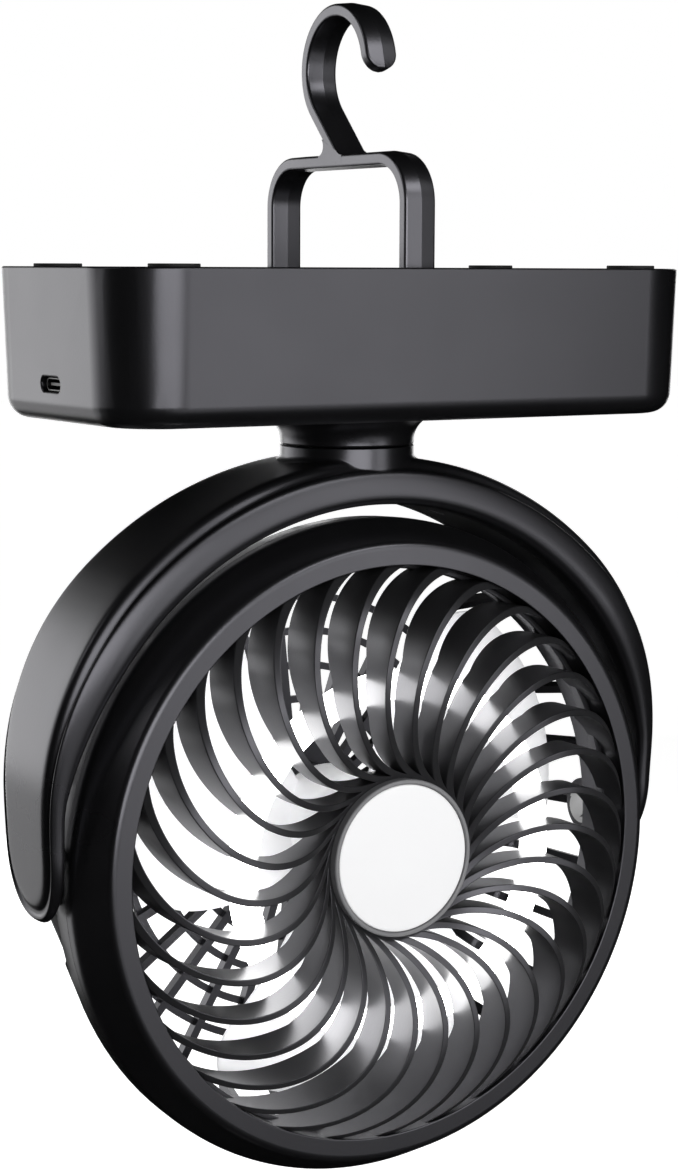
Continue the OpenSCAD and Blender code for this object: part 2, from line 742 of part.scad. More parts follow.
module at_liner_screws() for (a = liner_screw_angles) rotate(a) rotate([0, 90, 0]) children();

module yoke_frame() color(charcoal) difference() {
    union() {
        in_head() yoke_bar();
        disc(neck_r, head_cz + yoke_r - 6, collar_top_z);
    }
    in_head() difference() {
        linear_extrude(2 * yoke_hollow_half_d, center = true) yoke_hollow();
        rotate([-90, 0, 0]) disc(neck_boss_r, post_seat, yoke_r);
        at_liner_screws() disc(3.2, yoke_inner_r + liner_t + seat_gap, yoke_r);
    }
    disc(post_r + seat_gap, head_cz, collar_top_z + swallow);
    in_head() {
        at_liner_screws() disc(1.2 + seat_gap, yoke_inner_r, yoke_inner_r + 9);
        rotate([0, 90, 0]) cylinder(h = 2 * (arm_at_pivot - pin_blind), r = pivot_r, center = true);
    }
}

module yoke_liner() color(dark_grey) in_head() difference() {
    linear_extrude(2 * (yoke_hollow_half_d - seat_gap), center = true) difference() {
        intersection() {
            circle(yoke_inner_r + liner_t);
            union() {
                wedge(liner_angle + 0.1, 91);
                wedge(89, 180 - liner_angle - 0.1);
            }
        }
        circle(yoke_inner_r);
    }
    at_liner_screws() {
        disc(2.5, yoke_inner_r - 1, yoke_inner_r + 1);
        disc(1.2 + seat_gap, yoke_inner_r - 1, yoke_inner_r + liner_t + 1);
    }
}

module liner_screws() color(steel) in_head() at_liner_screws() {
    disc(2.3, yoke_inner_r + 0.1, yoke_inner_r + 1);
    disc(1.2, yoke_inner_r + 0.5, yoke_inner_r + 8);
}

module swivel_post() color(dark_grey) difference() {
    union() {
        disc(post_r, head_cz + post_seat - eps, feet_z + post_top);
        disc(flange_r, head_cz + post_seat - flange_t, head_cz + post_seat);
    }
    disc(post_bore_r, head_cz, feet_z);
}

module swivel_washer() color(steel)
    tube(nut_r, post_r + seat_gap, feet_z + washer_z, feet_z + washer_z + washer_t);

module swivel_nut() color(steel) difference() {
    translate([0, 0, feet_z + washer_z + washer_t]) cylinder(h = nut_h, r = nut_r, $fn = 6);
    disc(post_r + eps, neck_face_z, feet_z);
}

module pivot_pins() color(steel) in_head() for (side = [-1, 1]) rotate([0, side * 90, 0]) difference() {
    disc(pivot_r, boss_inner - moving_gap - clip_t - 1.2, arm_at_pivot - pin_blind);
    tube(pivot_r + 1, pivot_r - 0.8, boss_inner - moving_gap - clip_t, boss_inner - moving_gap);
}

module pivot_washers() color([0.8, 0.8, 0.78]) in_head() for (side = [-1, 1]) rotate([0, side * 90, 0])
    tube(pivot_boss_r, pivot_r + seat_gap, yoke_half_gap - pivot_washer_t, yoke_half_gap);

module pivot_clips() color(steel) in_head() for (side = [-1, 1]) rotate([0, side * 90, 0]) difference() {
    tube(pivot_r + 1.8, pivot_r - 0.7, boss_inner - moving_gap - clip_t + 0.05, boss_inner - moving_gap - 0.05);
    translate([0, -1.8, 0]) cube([2 * pivot_r, 3.6, 2 * boss_inner]);
}

// ---------- head casing ----------

// Distance along the axis at which the front cone meets the ridge's rounding, and its slope
ridge_c = [head_r - ridge_round, ridge_z];
lip_point = [lip_r, lip_z - lip_round];
cone_reach = norm(lip_point - ridge_c);
cone_angle = atan2(lip_point.y - ridge_c.y, lip_point.x - ridge_c.x) - acos(ridge_round / cone_reach);
cone_point = ridge_c + ridge_round * [cos(cone_angle), sin(cone_angle)];
inner_round = ridge_round - head_wall;
inner_cone_point = ridge_c + inner_round * [cos(cone_angle), sin(cone_angle)];
inner_lip_x = inner_cone_point.x - (channel_top - inner_cone_point.y) * tan(cone_angle);

module bezel_outside() {
    polygon([[duct_r, seam_z], [duct_r, lip_z], [lip_r - lip_round, lip_z], lip_point, cone_point,
             ridge_c, [head_r, ridge_z], [head_r, seam_z]]);
    translate(ridge_c) circle(ridge_round);
}

module bezel_channel() {
    polygon([[duct_r + head_wall, 0], [duct_r + head_wall, channel_top], [inner_lip_x, channel_top],
             inner_cone_point, ridge_c, [head_r - head_wall, ridge_z], [head_r - head_wall, 0]]);
    intersection() {
        translate(ridge_c) circle(inner_round);
        translate([duct_r + head_wall, 0]) square([head_r, lip_z]);
    }
}

module at_case_screws() for (a = case_screw_angles) rotate(a) translate([case_boss_at, 0, 0]) children();

module front_bezel() color(dark_grey) in_head() difference() {
    union() {
        rotate_extrude() difference() {
            union() {
                intersection() {
                    bezel_outside();
                    translate([duct_r, seam_z]) square([head_r, lip_z]);
                }
                translate([duct_r, duct_back_z]) square([head_wall, lip_z - duct_back_z]);
            }
            bezel_channel();
        }
        at_case_screws() disc(case_boss_r, seam_z, seam_z + case_boss_reach);
    }
    at_case_screws() disc(case_screw_r + seat_gap, 0, seam_z + case_boss_reach - 0.8);
}

taper_r = head_r - 0.3;

// Outer form of the rear shell, drawn in by inset
module rear_form(inset) {
    lean = tan(taper);
    round = max(shoulder_r - inset, 0.5);
    // The rounding's centre lies one radius inside both the tapered wall and the back face
    c = [taper_r - inset / cos(taper) - (taper_z + back_z - inset - round) * lean - round / cos(taper),
         -back_z + inset + round];
    top_r = taper_r - inset;
    polygon([[0, seam_z + (inset > 0 ? swallow : 0)], [head_r - inset, seam_z + (inset > 0 ? swallow : 0)],
             [top_r, taper_z], c + round * [cos(taper), -sin(taper)], c, [c.x, -back_z + inset],
             [0, -back_z + inset]]);
    translate(c) circle(round);
}

module guard_ring(r) tube(r + guard_ring_w / 2, r - guard_ring_w / 2, -back_z, -back_z + guard_t / 2);

module guard_ribs() linear_extrude(4 * back_z, center = true) difference() {
    for (i = [0 : rib_count / 2 - 1]) rotate(i * 360 / rib_count)
        square([2.2 * head_r, rib_w], center = true);
    circle(motor_seat_r - 1);
}

module rear_shell() color(charcoal) in_head() difference() {
    union() {
        rotate_extrude() intersection() {
            difference() {
                rear_form(0);
                rear_form(head_wall);
            }
            square([2 * head_r, 2 * head_r]);
        }
        intersection() {
            rotate_extrude() difference() {
                rear_form(0);
                rear_form(guard_t);
            }
            guard_ribs();
            disc(2 * head_r, -2 * back_z, 0.5);
        }
        for (r = [motor_seat_r + 1 + guard_ring_pitch : guard_ring_pitch : guard_ring_reach]) guard_ring(r);
        disc(motor_seat_r, -back_z, guard_face);
        // collar round the motor
        tube(motor_r + seat_gap + 1.6, motor_r + seat_gap, guard_face - eps, guard_face + 6);
        for (side = [-1, 1]) rotate([0, side * 90, 0])
            disc(pivot_boss_r, boss_inner, boss_face);
        at_case_screws() disc(case_boss_r, seam_z - case_boss_len, seam_z - seam_relief);
    }
    rotate([0, 90, 0]) cylinder(h = 4 * head_r, r = pivot_r + running_fit, center = true);
    at_case_screws() {
        disc(case_screw_r + seat_gap, 0, lip_z);
        disc(2.2, -back_z, seam_z - case_boss_len + 1.4);
    }
    for (turn = [0, 180]) rotate(turn + 45) translate([motor_r - 5, 0, 0])
        disc(screw_r, -back_z - 1, guard_face + 1);
}

module head_screws() color(steel) in_head() at_case_screws() {
    disc(2.1, seam_z - case_boss_len + 0.2, seam_z - case_boss_len + 1.4);
    disc(case_screw_r, seam_z - case_boss_len + 1.3, seam_z + case_boss_reach - 1);
}

// ---------- grille, hub and lamp ----------

// Front of the fins: two arcs that meet at the bulge's crest
outer_drop = fin_bulge + 1.5;
outer_dome_r = (pow(duct_r - fin_bulge_r, 2) + pow(outer_drop, 2)) / (2 * outer_drop);
inner_drop = dome_top - hub_z + 2.6;
inner_dome_r = (pow(fin_bulge_r - hub_r, 2) + pow(inner_drop, 2)) / (2 * inner_drop);

function dome_height(r) = r > fin_bulge_r
    ? dome_top - outer_dome_r + sqrt(pow(outer_dome_r, 2) - pow(r - fin_bulge_r, 2))
    : dome_top - inner_dome_r + sqrt(pow(inner_dome_r, 2) - pow(r - fin_bulge_r, 2));

// The band between the front and the rear of the fins, as a half section
module fin_band() {
    rear_crest = dome_top - fin_depth;
    rear_rim = dome_height(duct_r) - fin_depth;
    rim_r = duct_r - seat_gap;
    fin_start_r = hub_r + seat_gap;
    intersection() {
        union() {
            intersection() {
                translate([fin_bulge_r, dome_top - outer_dome_r]) circle(outer_dome_r);
                translate([fin_bulge_r, 0]) square([rim_r - fin_bulge_r, dome_top + 1]);
            }
            intersection() {
                translate([fin_bulge_r, dome_top - inner_dome_r]) circle(inner_dome_r);
                translate([fin_start_r, 0]) square([fin_bulge_r - fin_start_r + eps, dome_top + 1]);
            }
        }
        polygon([[0, collar_back], [hub_r, collar_back], [lamp_r - lamp_w / 2 - 3, rear_crest],
                 [lamp_r + lamp_w / 2 + 3, rear_crest], [rim_r, rear_rim], [rim_r, dome_top + 2],
                 [0, dome_top + 2]]);
    }
}

// One fin seen from the front: half a ring whose ends lie on the line through the fan's axis
module fin_outline() rotate(fin_phase) intersection() {
    translate([fin_arc_offset, 0]) difference() {
        circle(fin_arc_r + fin_t / 2);
        circle(fin_arc_r - fin_t / 2);
    }
    square([2 * head_r, 2 * head_r]);
}

module front_grille() color(charcoal) in_head() {
    intersection() {
        linear_extrude(dome_top + 2) for (i = [0 : fin_count - 1]) rotate(i * 360 / fin_count) fin_outline();
        rotate_extrude() fin_band();
    }
    tube(hub_r + 0.9, hub_r - 2.6, collar_back, hub_cup_z);
    tube(duct_r - seat_gap, duct_r - hoop_t, dome_height(duct_r) - fin_depth, dome_height(duct_r) - fin_depth + 4);
}

module hub_rim() color([0.62, 0.63, 0.65]) in_head() difference() {
    disc(hub_r, hub_cup_z, hub_z);
    disc(hub_disc_r + seat_gap, hub_cup_z + 1.2, hub_z + 1);
    disc(hub_disc_r - 3, hub_cup_z - 1, hub_z);
}

module hub_disc() color([0.93, 0.93, 0.93]) in_head() disc(hub_disc_r, hub_cup_z + 1.2, hub_z);

module light_board() color([0.92, 0.92, 0.9]) in_head()
    tube(lamp_r + lamp_w / 2 - 1, lamp_r - lamp_w / 2 + 1, lamp_top - lamp_depth, lamp_top - lamp_depth + lamp_board_t);

module light_beads() color([1, 0.95, 0.75]) in_head() for (i = [0 : bead_count - 1])
    rotate((i + 0.35) * 360 / bead_count) translate([lamp_r, 0, lamp_top - lamp_depth + lamp_board_t])
        translate([-1.4, -1.75, 0]) cube([2.8, 3.5, 0.8]);

module light_diffuser() color([0.96, 0.96, 0.96]) in_head() difference() {
    tube(lamp_r + lamp_w / 2, lamp_r - lamp_w / 2, lamp_top - lamp_depth, lamp_top);
    tube(lamp_r + lamp_w / 2 - lamp_cover_t, lamp_r - lamp_w / 2 + lamp_cover_t,
         lamp_top - lamp_depth - 1, lamp_top - lamp_cover_t);
}

// ---------- motor and impeller ----------

module rear_cap() color(dark_grey) in_head() difference() {
    disc(motor_seat_r - 2, -back_z - 1, -back_z);
    for (turn = [0, 180]) rotate(turn + 45) translate([motor_r - 5, 0, 0]) disc(screw_r, -back_z - 2, 0);
}

module motor_can() color(steel) in_head() difference() {
    disc(motor_r, guard_face, guard_face + motor_len);
    disc(shaft_r + 2, 0 - back_z, guard_face + motor_len + 1);
    for (turn = [0, 180]) rotate(turn + 45) translate([motor_r - 5, 0, 0])
        disc(screw_r, guard_face - 1, guard_face + 5);
}

module motor_bushes() color([0.7, 0.55, 0.3]) in_head() for (z = [guard_face, guard_face + motor_len - 3])
    tube(shaft_r + 2, shaft_r + running_fit, z, z + 3);

module motor_screws() color(steel) in_head() for (turn = [0, 180]) rotate(turn + 45)
    translate([motor_r - 5, 0, 0]) {
        disc(screw_r, -back_z - 1, guard_face + 4);
        disc(screw_head_r, -back_z - 1 - screw_head_h, -back_z - 1);
    }

// A blade's section across the axis: a thin swept sector
module blade_section() {
    sector = 8;
    steps = 8;
    r0 = impeller_hub_r - 1;
    function at(i) = r0 + (impeller_r - r0) * i / steps;
    function lag(i) = -14 * pow(i / steps, 2);
    polygon(concat(
        [for (i = [0 : steps]) at(i) * [cos(lag(i)), sin(lag(i))]],
        [for (i = [steps : -1 : 0]) at(i) * [cos(lag(i) + sector), sin(lag(i) + sector)]]));
}

module impeller() color(blade_white) in_head() difference() {
    union() {
        for (i = [0 : blade_count - 1]) rotate(i * 360 / blade_count) translate([0, 0, blade_z])
            linear_extrude(height = blade_rise, twist = -blade_sweep, slices = 12, segments = 18) blade_section();
        tube(impeller_hub_r, impeller_hub_r - hub_wall, hub_back, hub_front - hub_wall + eps);
        disc(impeller_hub_r, hub_front - hub_wall, hub_front);
        disc(5, motor_front + 1, hub_front - hub_wall + eps);
    }
    disc(shaft_r, motor_front, hub_front + 1);
}

module motor_shaft() color(steel) in_head() disc(shaft_r, guard_face + 0.5, hub_front + 2);

module impeller_clip() color(steel) in_head() tube(3.2, shaft_r, hub_front, hub_front + 0.9);

base_shell();
base_cover();
feet();
cover_screws();
hook();
hook_pins();
battery_cells();
battery_tray();
main_board();
switch_board();
tact_switches();
usb_socket();
indicator_lens();
fan_button();
light_button();
yoke_frame();
yoke_liner();
liner_screws();
swivel_post();
swivel_washer();
swivel_nut();
pivot_pins();
pivot_washers();
pivot_clips();
front_bezel();
front_grille();
hub_rim();
hub_disc();
light_board();
light_beads();
light_diffuser();
rear_shell();
head_screws();
rear_cap();
motor_can();
motor_bushes();
motor_screws();
impeller();
motor_shaft();
impeller_clip();
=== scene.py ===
# %% [markdown]
# # Dressing a hanging camping fan
#
# The fan hangs from a fold-out hook: a flat base with batteries and buttons, a
# yoke that swivels under it, and a round head that tilts between the yoke's arms.
# The solids come from CAD and never move. This file gives them their finishes,
# eases their sharp edges, and builds anew the pieces whose surface says most about
# the real thing: the yoke's band, the creased hook, the feet, the bezel, the
# swirling fins, the hub disc, the glowing lamp ring and the blades.

import json
from math import radians

import bmesh
import bpy
import numpy as np
from mathutils import Matrix, Vector

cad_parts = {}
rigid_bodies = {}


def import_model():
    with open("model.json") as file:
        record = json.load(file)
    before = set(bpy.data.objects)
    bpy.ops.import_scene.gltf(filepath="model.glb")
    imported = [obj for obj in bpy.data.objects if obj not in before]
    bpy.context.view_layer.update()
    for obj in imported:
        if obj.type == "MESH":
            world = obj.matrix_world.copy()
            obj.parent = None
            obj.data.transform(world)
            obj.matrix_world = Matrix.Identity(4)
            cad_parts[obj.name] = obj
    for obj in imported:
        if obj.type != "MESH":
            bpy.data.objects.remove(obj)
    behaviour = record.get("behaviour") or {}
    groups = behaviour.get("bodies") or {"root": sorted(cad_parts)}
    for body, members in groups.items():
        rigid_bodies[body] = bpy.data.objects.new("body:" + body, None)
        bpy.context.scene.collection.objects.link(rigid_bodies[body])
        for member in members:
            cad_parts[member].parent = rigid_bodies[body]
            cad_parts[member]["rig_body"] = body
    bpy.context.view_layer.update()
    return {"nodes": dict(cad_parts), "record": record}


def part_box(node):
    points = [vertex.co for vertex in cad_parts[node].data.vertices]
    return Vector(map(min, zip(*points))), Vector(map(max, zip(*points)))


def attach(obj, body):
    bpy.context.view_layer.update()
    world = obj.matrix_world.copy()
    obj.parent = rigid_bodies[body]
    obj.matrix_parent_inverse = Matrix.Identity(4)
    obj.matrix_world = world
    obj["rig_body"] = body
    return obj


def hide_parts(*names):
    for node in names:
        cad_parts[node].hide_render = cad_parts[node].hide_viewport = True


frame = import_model()
MM = 0.001

# %% [markdown]
# ## Sizes that come from the frame
#
# A dressed piece has to sit exactly on the solids that carry it. Typing their
# sizes again would let the two drift apart, so the places are read from the
# nodes' boxes, in millimetres, in the head's own directions: across, up, and
# forward along the fan's axis.

# %% Measure the head


def extent(node):
    """Lowest and highest corner of a CAD node, in millimetres."""
    low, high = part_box(node)
    return np.array(low) / MM, np.array(high) / MM


def radius_of(node):
    """Half the width of a round node that lies on the fan's axis."""
    low, high = extent(node)
    return (high[0] - low[0]) / 2


def reach_of(node):
    """How far back and how far forward of the tilt axis a node of the head reaches."""
    low, high = extent(node)
    return -high[1], -low[1]


AXIS_Z = sum(corner[2] for corner in extent("hub_rim")) / 2
DUCT_R = radius_of("front_grille")
HUB_R = radius_of("hub_rim")
DISC_R = radius_of("hub_disc")
print(f"fan's axis {-AXIS_Z:.1f} mm under the throat, duct radius {DUCT_R:.1f} mm")


def head_points(across, up, forward):
    """Points in the head's directions, in millimetres, as rows of points in the scene."""
    across, up, forward = np.broadcast_arrays(across, up, forward)
    return np.stack([across, -forward, up + AXIS_Z], -1).reshape(-1, 3) * MM


# %% [markdown]
# ## Shader maths as plain arithmetic
#
# A material is a graph of small nodes. Written one by one, a formula such as
# "rougher where the noise is high" takes ten lines. A thin class round a socket
# lets Python's own operators add the Math nodes, so the formula stays readable.

# %% Wires and recipes


class Wire:
    """One output in a node tree. Arithmetic on it adds Math nodes to that tree."""

    def __init__(self, recipe, socket):
        self.recipe = recipe
        self.socket = socket

    def maths(self, operation, *others):
        """A Math node whose first value is this wire and whose next are the others."""
        values = dict(enumerate((self, *others)))
        return self.recipe.node("Math", {"operation": operation}, values)

    def __add__(self, other):
        return self.maths("ADD", other)

    def __sub__(self, other):
        return self.maths("SUBTRACT", other)

    def __rsub__(self, other):
        return self.maths("MULTIPLY_ADD", -1.0, other)

    def __mul__(self, other):
        return self.maths("MULTIPLY", other)

    def __pow__(self, other):
        return self.maths("POWER", other)

    __radd__ = __add__
    __rmul__ = __mul__


class Recipe:
    """A node tree that is being filled: node() adds one node and returns its output."""

    def __init__(self, tree):
        self.tree = tree
        tree.nodes.clear()

    def node(self, kind, settings=None, sockets=None, output=0):
        """Adds a node of this kind; a socket takes a value, or a link from a wire."""
        node = self.tree.nodes.new("ShaderNode" + kind)
        for name, value in (settings or {}).items():
            setattr(node, name, value)
        for name, value in (sockets or {}).items():
            if isinstance(value, Wire):
                self.tree.links.new(value.socket, node.inputs[name])
            else:
                node.inputs[name].default_value = value
        return Wire(self, node.outputs[output]) if node.outputs else None

    def place(self, scale=(1, 1, 1)):
        """Object coordinates, multiplied by scale along each axis."""
        at = self.node("TexCoord", output="Object")
        return self.node("Mapping", sockets={"Vector": at, "Scale": scale})

    def noise(self, scale, detail=2.0, stretch=(1, 1, 1)):
        """Soft random values round 0.5, in lumps about 1 / scale metres across."""
        sockets = {"Vector": self.place(stretch), "Scale": scale, "Detail": detail}
        return self.node("TexNoise", sockets=sockets)

    def from_axis(self):
        """How far across and how far up a point lies from the fan's axis, in metres."""
        split = self.node("SeparateXYZ", sockets={"Vector": self.place()})
        parts = split.socket.node.outputs
        return Wire(self, parts["X"]), Wire(self, parts["Z"]) - AXIS_Z * MM

    def blend(self, mask, first, second):
        """The first colour where mask is 0, the second where it is 1.

        A Mix node holds sockets for every kind of value: 6, 7 and 2 are the colours'.
        """
        sockets = {0: mask, 6: first, 7: second}
        return self.node("Mix", {"data_type": "RGBA"}, sockets, output=2)

    def surface(self, sockets):
        """Ends the recipe in a Principled shader with these sockets."""
        shader = self.node("BsdfPrincipled", sockets=sockets)
        self.node("OutputMaterial", sockets={"Surface": shader})


def material(name):
    """A new material and the recipe of its nodes."""
    made = bpy.data.materials.new(name)
    made.use_nodes = True
    print("material", name)
    return made, Recipe(made.node_tree)


def grey(level, warmth=0.0):
    """A neutral colour; a little warmth takes from the blue, a negative one adds to it."""
    return (level, level, level * (1 - warmth), 1)


# %% [markdown]
# ## Moulded plastic
#
# The casing is charcoal plastic from a spark-eroded mould. Close up it has a fine
# grain that spreads the light; from further away its gloss changes slowly over the
# wall, because thick and thin places cool at different rates. A picture of the
# grain would have to be unwrapped on to every piece. Two noises at very different
# scales need no unwrapping, and the broad one also shifts the colour a little.

# %% Plastics
CLOUD_SCALE = 24
CLOUD_GLOSS = 0.14  # how much the gloss changes from one cloud to the next
GRAIN_SCALE = 1500
GRAIN_HEIGHT = 0.00006


def plastic(name, dark, light, roughness, grain, level=0.5, sheen_tint=grey(1.0)):
    """Plastic with a fine grain in its normal and a slow cloud in colour and gloss."""
    made, recipe = material(name)
    cloud = recipe.noise(CLOUD_SCALE, detail=3)
    speckle = recipe.noise(GRAIN_SCALE, detail=1)
    height = {"Height": speckle, "Strength": grain, "Distance": GRAIN_HEIGHT}
    recipe.surface(
        {
            "Base Color": recipe.blend(cloud, dark, light),
            "Roughness": roughness + CLOUD_GLOSS * (cloud - 0.5),
            "Normal": recipe.node("Bump", sockets=height),
            "Specular IOR Level": level,
            "Specular Tint": sheen_tint,
        }
    )
    return made


COOL = (0.92, 0.91, 1.0, 1)  # dark plastic mirrors the lamps slightly blue
INK, SOOT, SLATE = grey(0.003, -0.1), grey(0.006, -0.1), grey(0.020, -0.06)
# Each row: name, both ends of the cloud, roughness, grain, level of the sheen, tint.
charcoal = plastic("charcoal_moulding", INK, grey(0.005, -0.1), 0.3, 0.15, 0.72, COOL)
hook_plastic = plastic("hook_moulding", INK, SOOT, 0.3, 0.15, 1.1, COOL)
dark_shell = plastic("dark_moulding", INK, SOOT, 0.3, 0.15, 0.85, COOL)
fin_plastic = plastic("fin_moulding", grey(0.012, -0.06), SLATE, 0.33, 0.2, 0.66, COOL)
rubber = plastic("foot_rubber", grey(0.012), grey(0.020), 0.72, 0.6, level=0.3)
white_shell = plastic("white_moulding", grey(0.74), grey(0.80), 0.3, 0.05)
disc_white = plastic("hub_disc_white", grey(0.73, -0.01), grey(0.78, -0.01), 0.32, 0.04)
rim_grey = plastic("hub_rim_grey", grey(0.14, -0.04), grey(0.17, -0.04), 0.26, 0.08)
DEEP_BLUE, LIGHT_BLUE = (0.02, 0.10, 0.27, 1), (0.03, 0.13, 0.32, 1)
sleeve_blue = plastic("cell_sleeve_blue", DEEP_BLUE, LIGHT_BLUE, 0.2, 0.03)

# %% [markdown]
# ## Metal
#
# Pins, screws and the motor's can are turned or drawn steel, with fine lines that
# run one way. The shader's own anisotropy would need a tangent for every piece. A
# noise that is stretched along one axis makes the gloss streaky without one.

# %% Metals
LINE_SCALE = 260
LINE_STRETCH = (0.12, 1, 1)


def metal(name, dark, light, roughness):
    """Drawn metal: a noise stretched along the width streaks its colour and gloss."""
    made, recipe = material(name)
    streak = recipe.noise(LINE_SCALE, detail=3, stretch=LINE_STRETCH)
    recipe.surface(
        {
            "Base Color": recipe.blend(streak, dark, light),
            "Metallic": 1.0,
            "Roughness": roughness + 0.2 * (streak - 0.5),
        }
    )
    return made


steel = metal("drawn_steel", grey(0.48), grey(0.62), 0.3)
# The socket's shell is near black: painted shade that makes its deep opening read dark.
socket_metal_painted_shade = metal("socket_shell_painted_shade", grey(0.05), grey(0.09), 0.4)
brass = metal("bush_brass", (0.52, 0.36, 0.14, 1), (0.68, 0.50, 0.24, 1), 0.32)

# %% [markdown]
# ## Circuit board
#
# Solder mask is a glossy green lacquer over copper, lighter where a track runs under
# it. The board lies inside the base, so tracks drawn one by one would be wasted: a
# brick pattern, squashed into long cells, reads as tracks well enough.

# %% Board
TRACKS = {"Scale": 260.0, "Mortar Size": 0.09, "Brick Width": 1.4, "Row Height": 0.5}
MASK_GREEN = (0.005, 0.05, 0.02, 1)
TRACK_GREEN = (0.02, 0.12, 0.05, 1)


def board_lacquer():
    """Green lacquer that is lighter over the tracks."""
    made, recipe = material("board_lacquer")
    tracks = recipe.node("TexBrick", sockets={"Vector": recipe.place(), **TRACKS}, output="Fac")
    cloud = recipe.noise(60)
    recipe.surface(
        {
            "Base Color": recipe.blend(tracks, MASK_GREEN, TRACK_GREEN),
            "Roughness": 0.24 + 0.1 * (cloud - 0.5),
        }
    )
    return made


lacquer = board_lacquer()

# %% [markdown]
# ## The lamp's cover
#
# Behind the fins a ring of light beads sits under a milky cover. The cover glows
# all over, and hottest in front of each bead. Lamps under a translucent cover would
# be slow and grainy, so the cover itself gives the light. The angle round the fan's
# axis comes from the surface's own place, and a cosine of that angle, once for each
# bead, raised to a power, leaves a soft bright spot over every bead.

# %% Lamp glow
BEADS = 8
BEAD_TURN = 0.35  # the first bead's place, as a share of the step between two beads
SPOT_POWER = 5.0
COVER_GLOW = 10.0


def glowing_cover(strength):
    """Milky plastic whose own light peaks over the beads."""
    made, recipe = material("lamp_cover")
    across, up = recipe.from_axis()
    angle = up.maths("ARCTAN2", across)
    wave = (angle * BEADS - BEAD_TURN * 2 * np.pi).maths("COSINE")
    spot = (0.5 + 0.5 * wave) ** SPOT_POWER
    recipe.surface(
        {
            "Base Color": recipe.blend(recipe.noise(90), grey(0.80), grey(0.86)),
            "Roughness": 0.4,
            "Emission Color": recipe.blend(spot, grey(0.55, 0.01), grey(1.0, 0.02)),
            "Emission Strength": strength,
        }
    )
    return made


lamp_cover = glowing_cover(COVER_GLOW)

# %% [markdown]
# The blades are moulded in a thin milky plastic that lets the lamp's light through
# and spreads it. That light is painted on as a glow: brightest where the blades pass
# under the lamp ring, fading with the distance from the ring to a weaker glow all
# over. The painted glow takes the place of light that would have to be traced
# through their walls.

# %% Blade glow
GLOW_R = 0.047
GLOW_FALL = 28  # the glow is gone 1 / GLOW_FALL metres away from GLOW_R
BLADE_GLOW = 0.5


def milky_blade_painted_glow(strength):
    """White plastic with a painted glow, brightest at the lamp ring and weaker away from it."""
    made, recipe = material("milky_blade_painted_glow")
    across, up = recipe.from_axis()
    away = ((across**2.0 + up**2.0) ** 0.5 - GLOW_R).maths("ABSOLUTE")
    near = (1 - GLOW_FALL * away).maths("MAXIMUM", 0.0)
    cloud = recipe.noise(CLOUD_SCALE, detail=3)
    recipe.surface(
        {
            "Base Color": recipe.blend(cloud, grey(0.82, -0.02), grey(0.87, -0.02)),
            "Roughness": 0.28,
            # Painted light: the lamp's light through the blades, weaker away from the ring.
            "Emission Color": recipe.blend(near, grey(0.35, -0.02), grey(1.0, -0.02)),
            "Emission Strength": strength,
        }
    )
    return made


blade_painted_glow = milky_blade_painted_glow(BLADE_GLOW)

# %% [markdown]
# ## Give every node its finish
#
# The record names a material slot for each node. The imported meshes stay as they
# are, so the finish goes into the object's own slot instead of the mesh's.

# %% Dress the nodes
FINISHES = {
    "charcoal_plastic": charcoal,
    "dark_plastic": dark_shell,
    "rubber": rubber,
    "steel": steel,
    "brass": brass,
    "white_plastic": white_shell,
    "grey_rim": rim_grey,
    "pale_blade": blade_painted_glow,
    "cell_sleeve": sleeve_blue,
    "circuit_board": lacquer,
}
SLOT_OF = {row["node"]: row["material_slot"] for row in frame["record"]["subparts"]}

for node, slot in SLOT_OF.items():
    holder = frame["nodes"][node].material_slots[0]
    holder.link = "OBJECT"
    holder.material = FINISHES[slot]
# The USB socket takes the near-black metal, painted shade for its opening.
frame["nodes"]["usb_socket"].material_slots[0].material = socket_metal_painted_shade
print("finished", len(SLOT_OF), "nodes from", len(FINISHES), "finishes")

# %% [markdown]
# ## From arrays to a closed mesh
#
# A new piece is a grid of points, worked out with numpy. One function turns grids
# into a mesh: it merges the doubled points at seams and poles, caps what is still
# open, and turns every face outwards.

# %% Mesh helpers


def quads(rows, columns, round_rows=False, round_columns=True):
    """Corner numbers of the four-sided faces between neighbouring points of a grid."""
    row = np.arange(rows if round_rows else rows - 1)[:, None]
    column = np.arange(columns if round_columns else columns - 1)[None, :]
    next_row, next_column = (row + 1) % rows, (column + 1) % columns
    corners = [(row, column), (row, next_column), (next_row, next_column), (next_row, column)]
    numbers = np.broadcast_arrays(*[r * columns + c for r, c in corners])
    return np.stack(numbers, -1).reshape(-1, 4)


def join(shells):
    """Several (points, faces) pairs as one pair."""
    counts = np.cumsum([0] + [len(points) for points, _ in shells])
    faces = [faces + start for (_, faces), start in zip(shells, counts)]
    return np.concatenate([points for points, _ in shells]), np.concatenate(faces)


def into_scene(name, data):
    """A new object with this data, linked to the scene."""
    made = bpy.data.objects.new(name, data)
    bpy.context.scene.collection.objects.link(made)
    return made


def place_piece(name, mesh, finish, body, nodes, sharp):
    """Puts a mesh into the scene as a piece of that body, in place of those nodes."""
    mesh.shade_smooth()
    mesh.set_sharp_from_angle(angle=radians(sharp))
    mesh.materials.clear()
    mesh.materials.append(finish)
    piece = into_scene(name, mesh)
    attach(piece, body)
    if nodes:
        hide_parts(*nodes)
    return piece


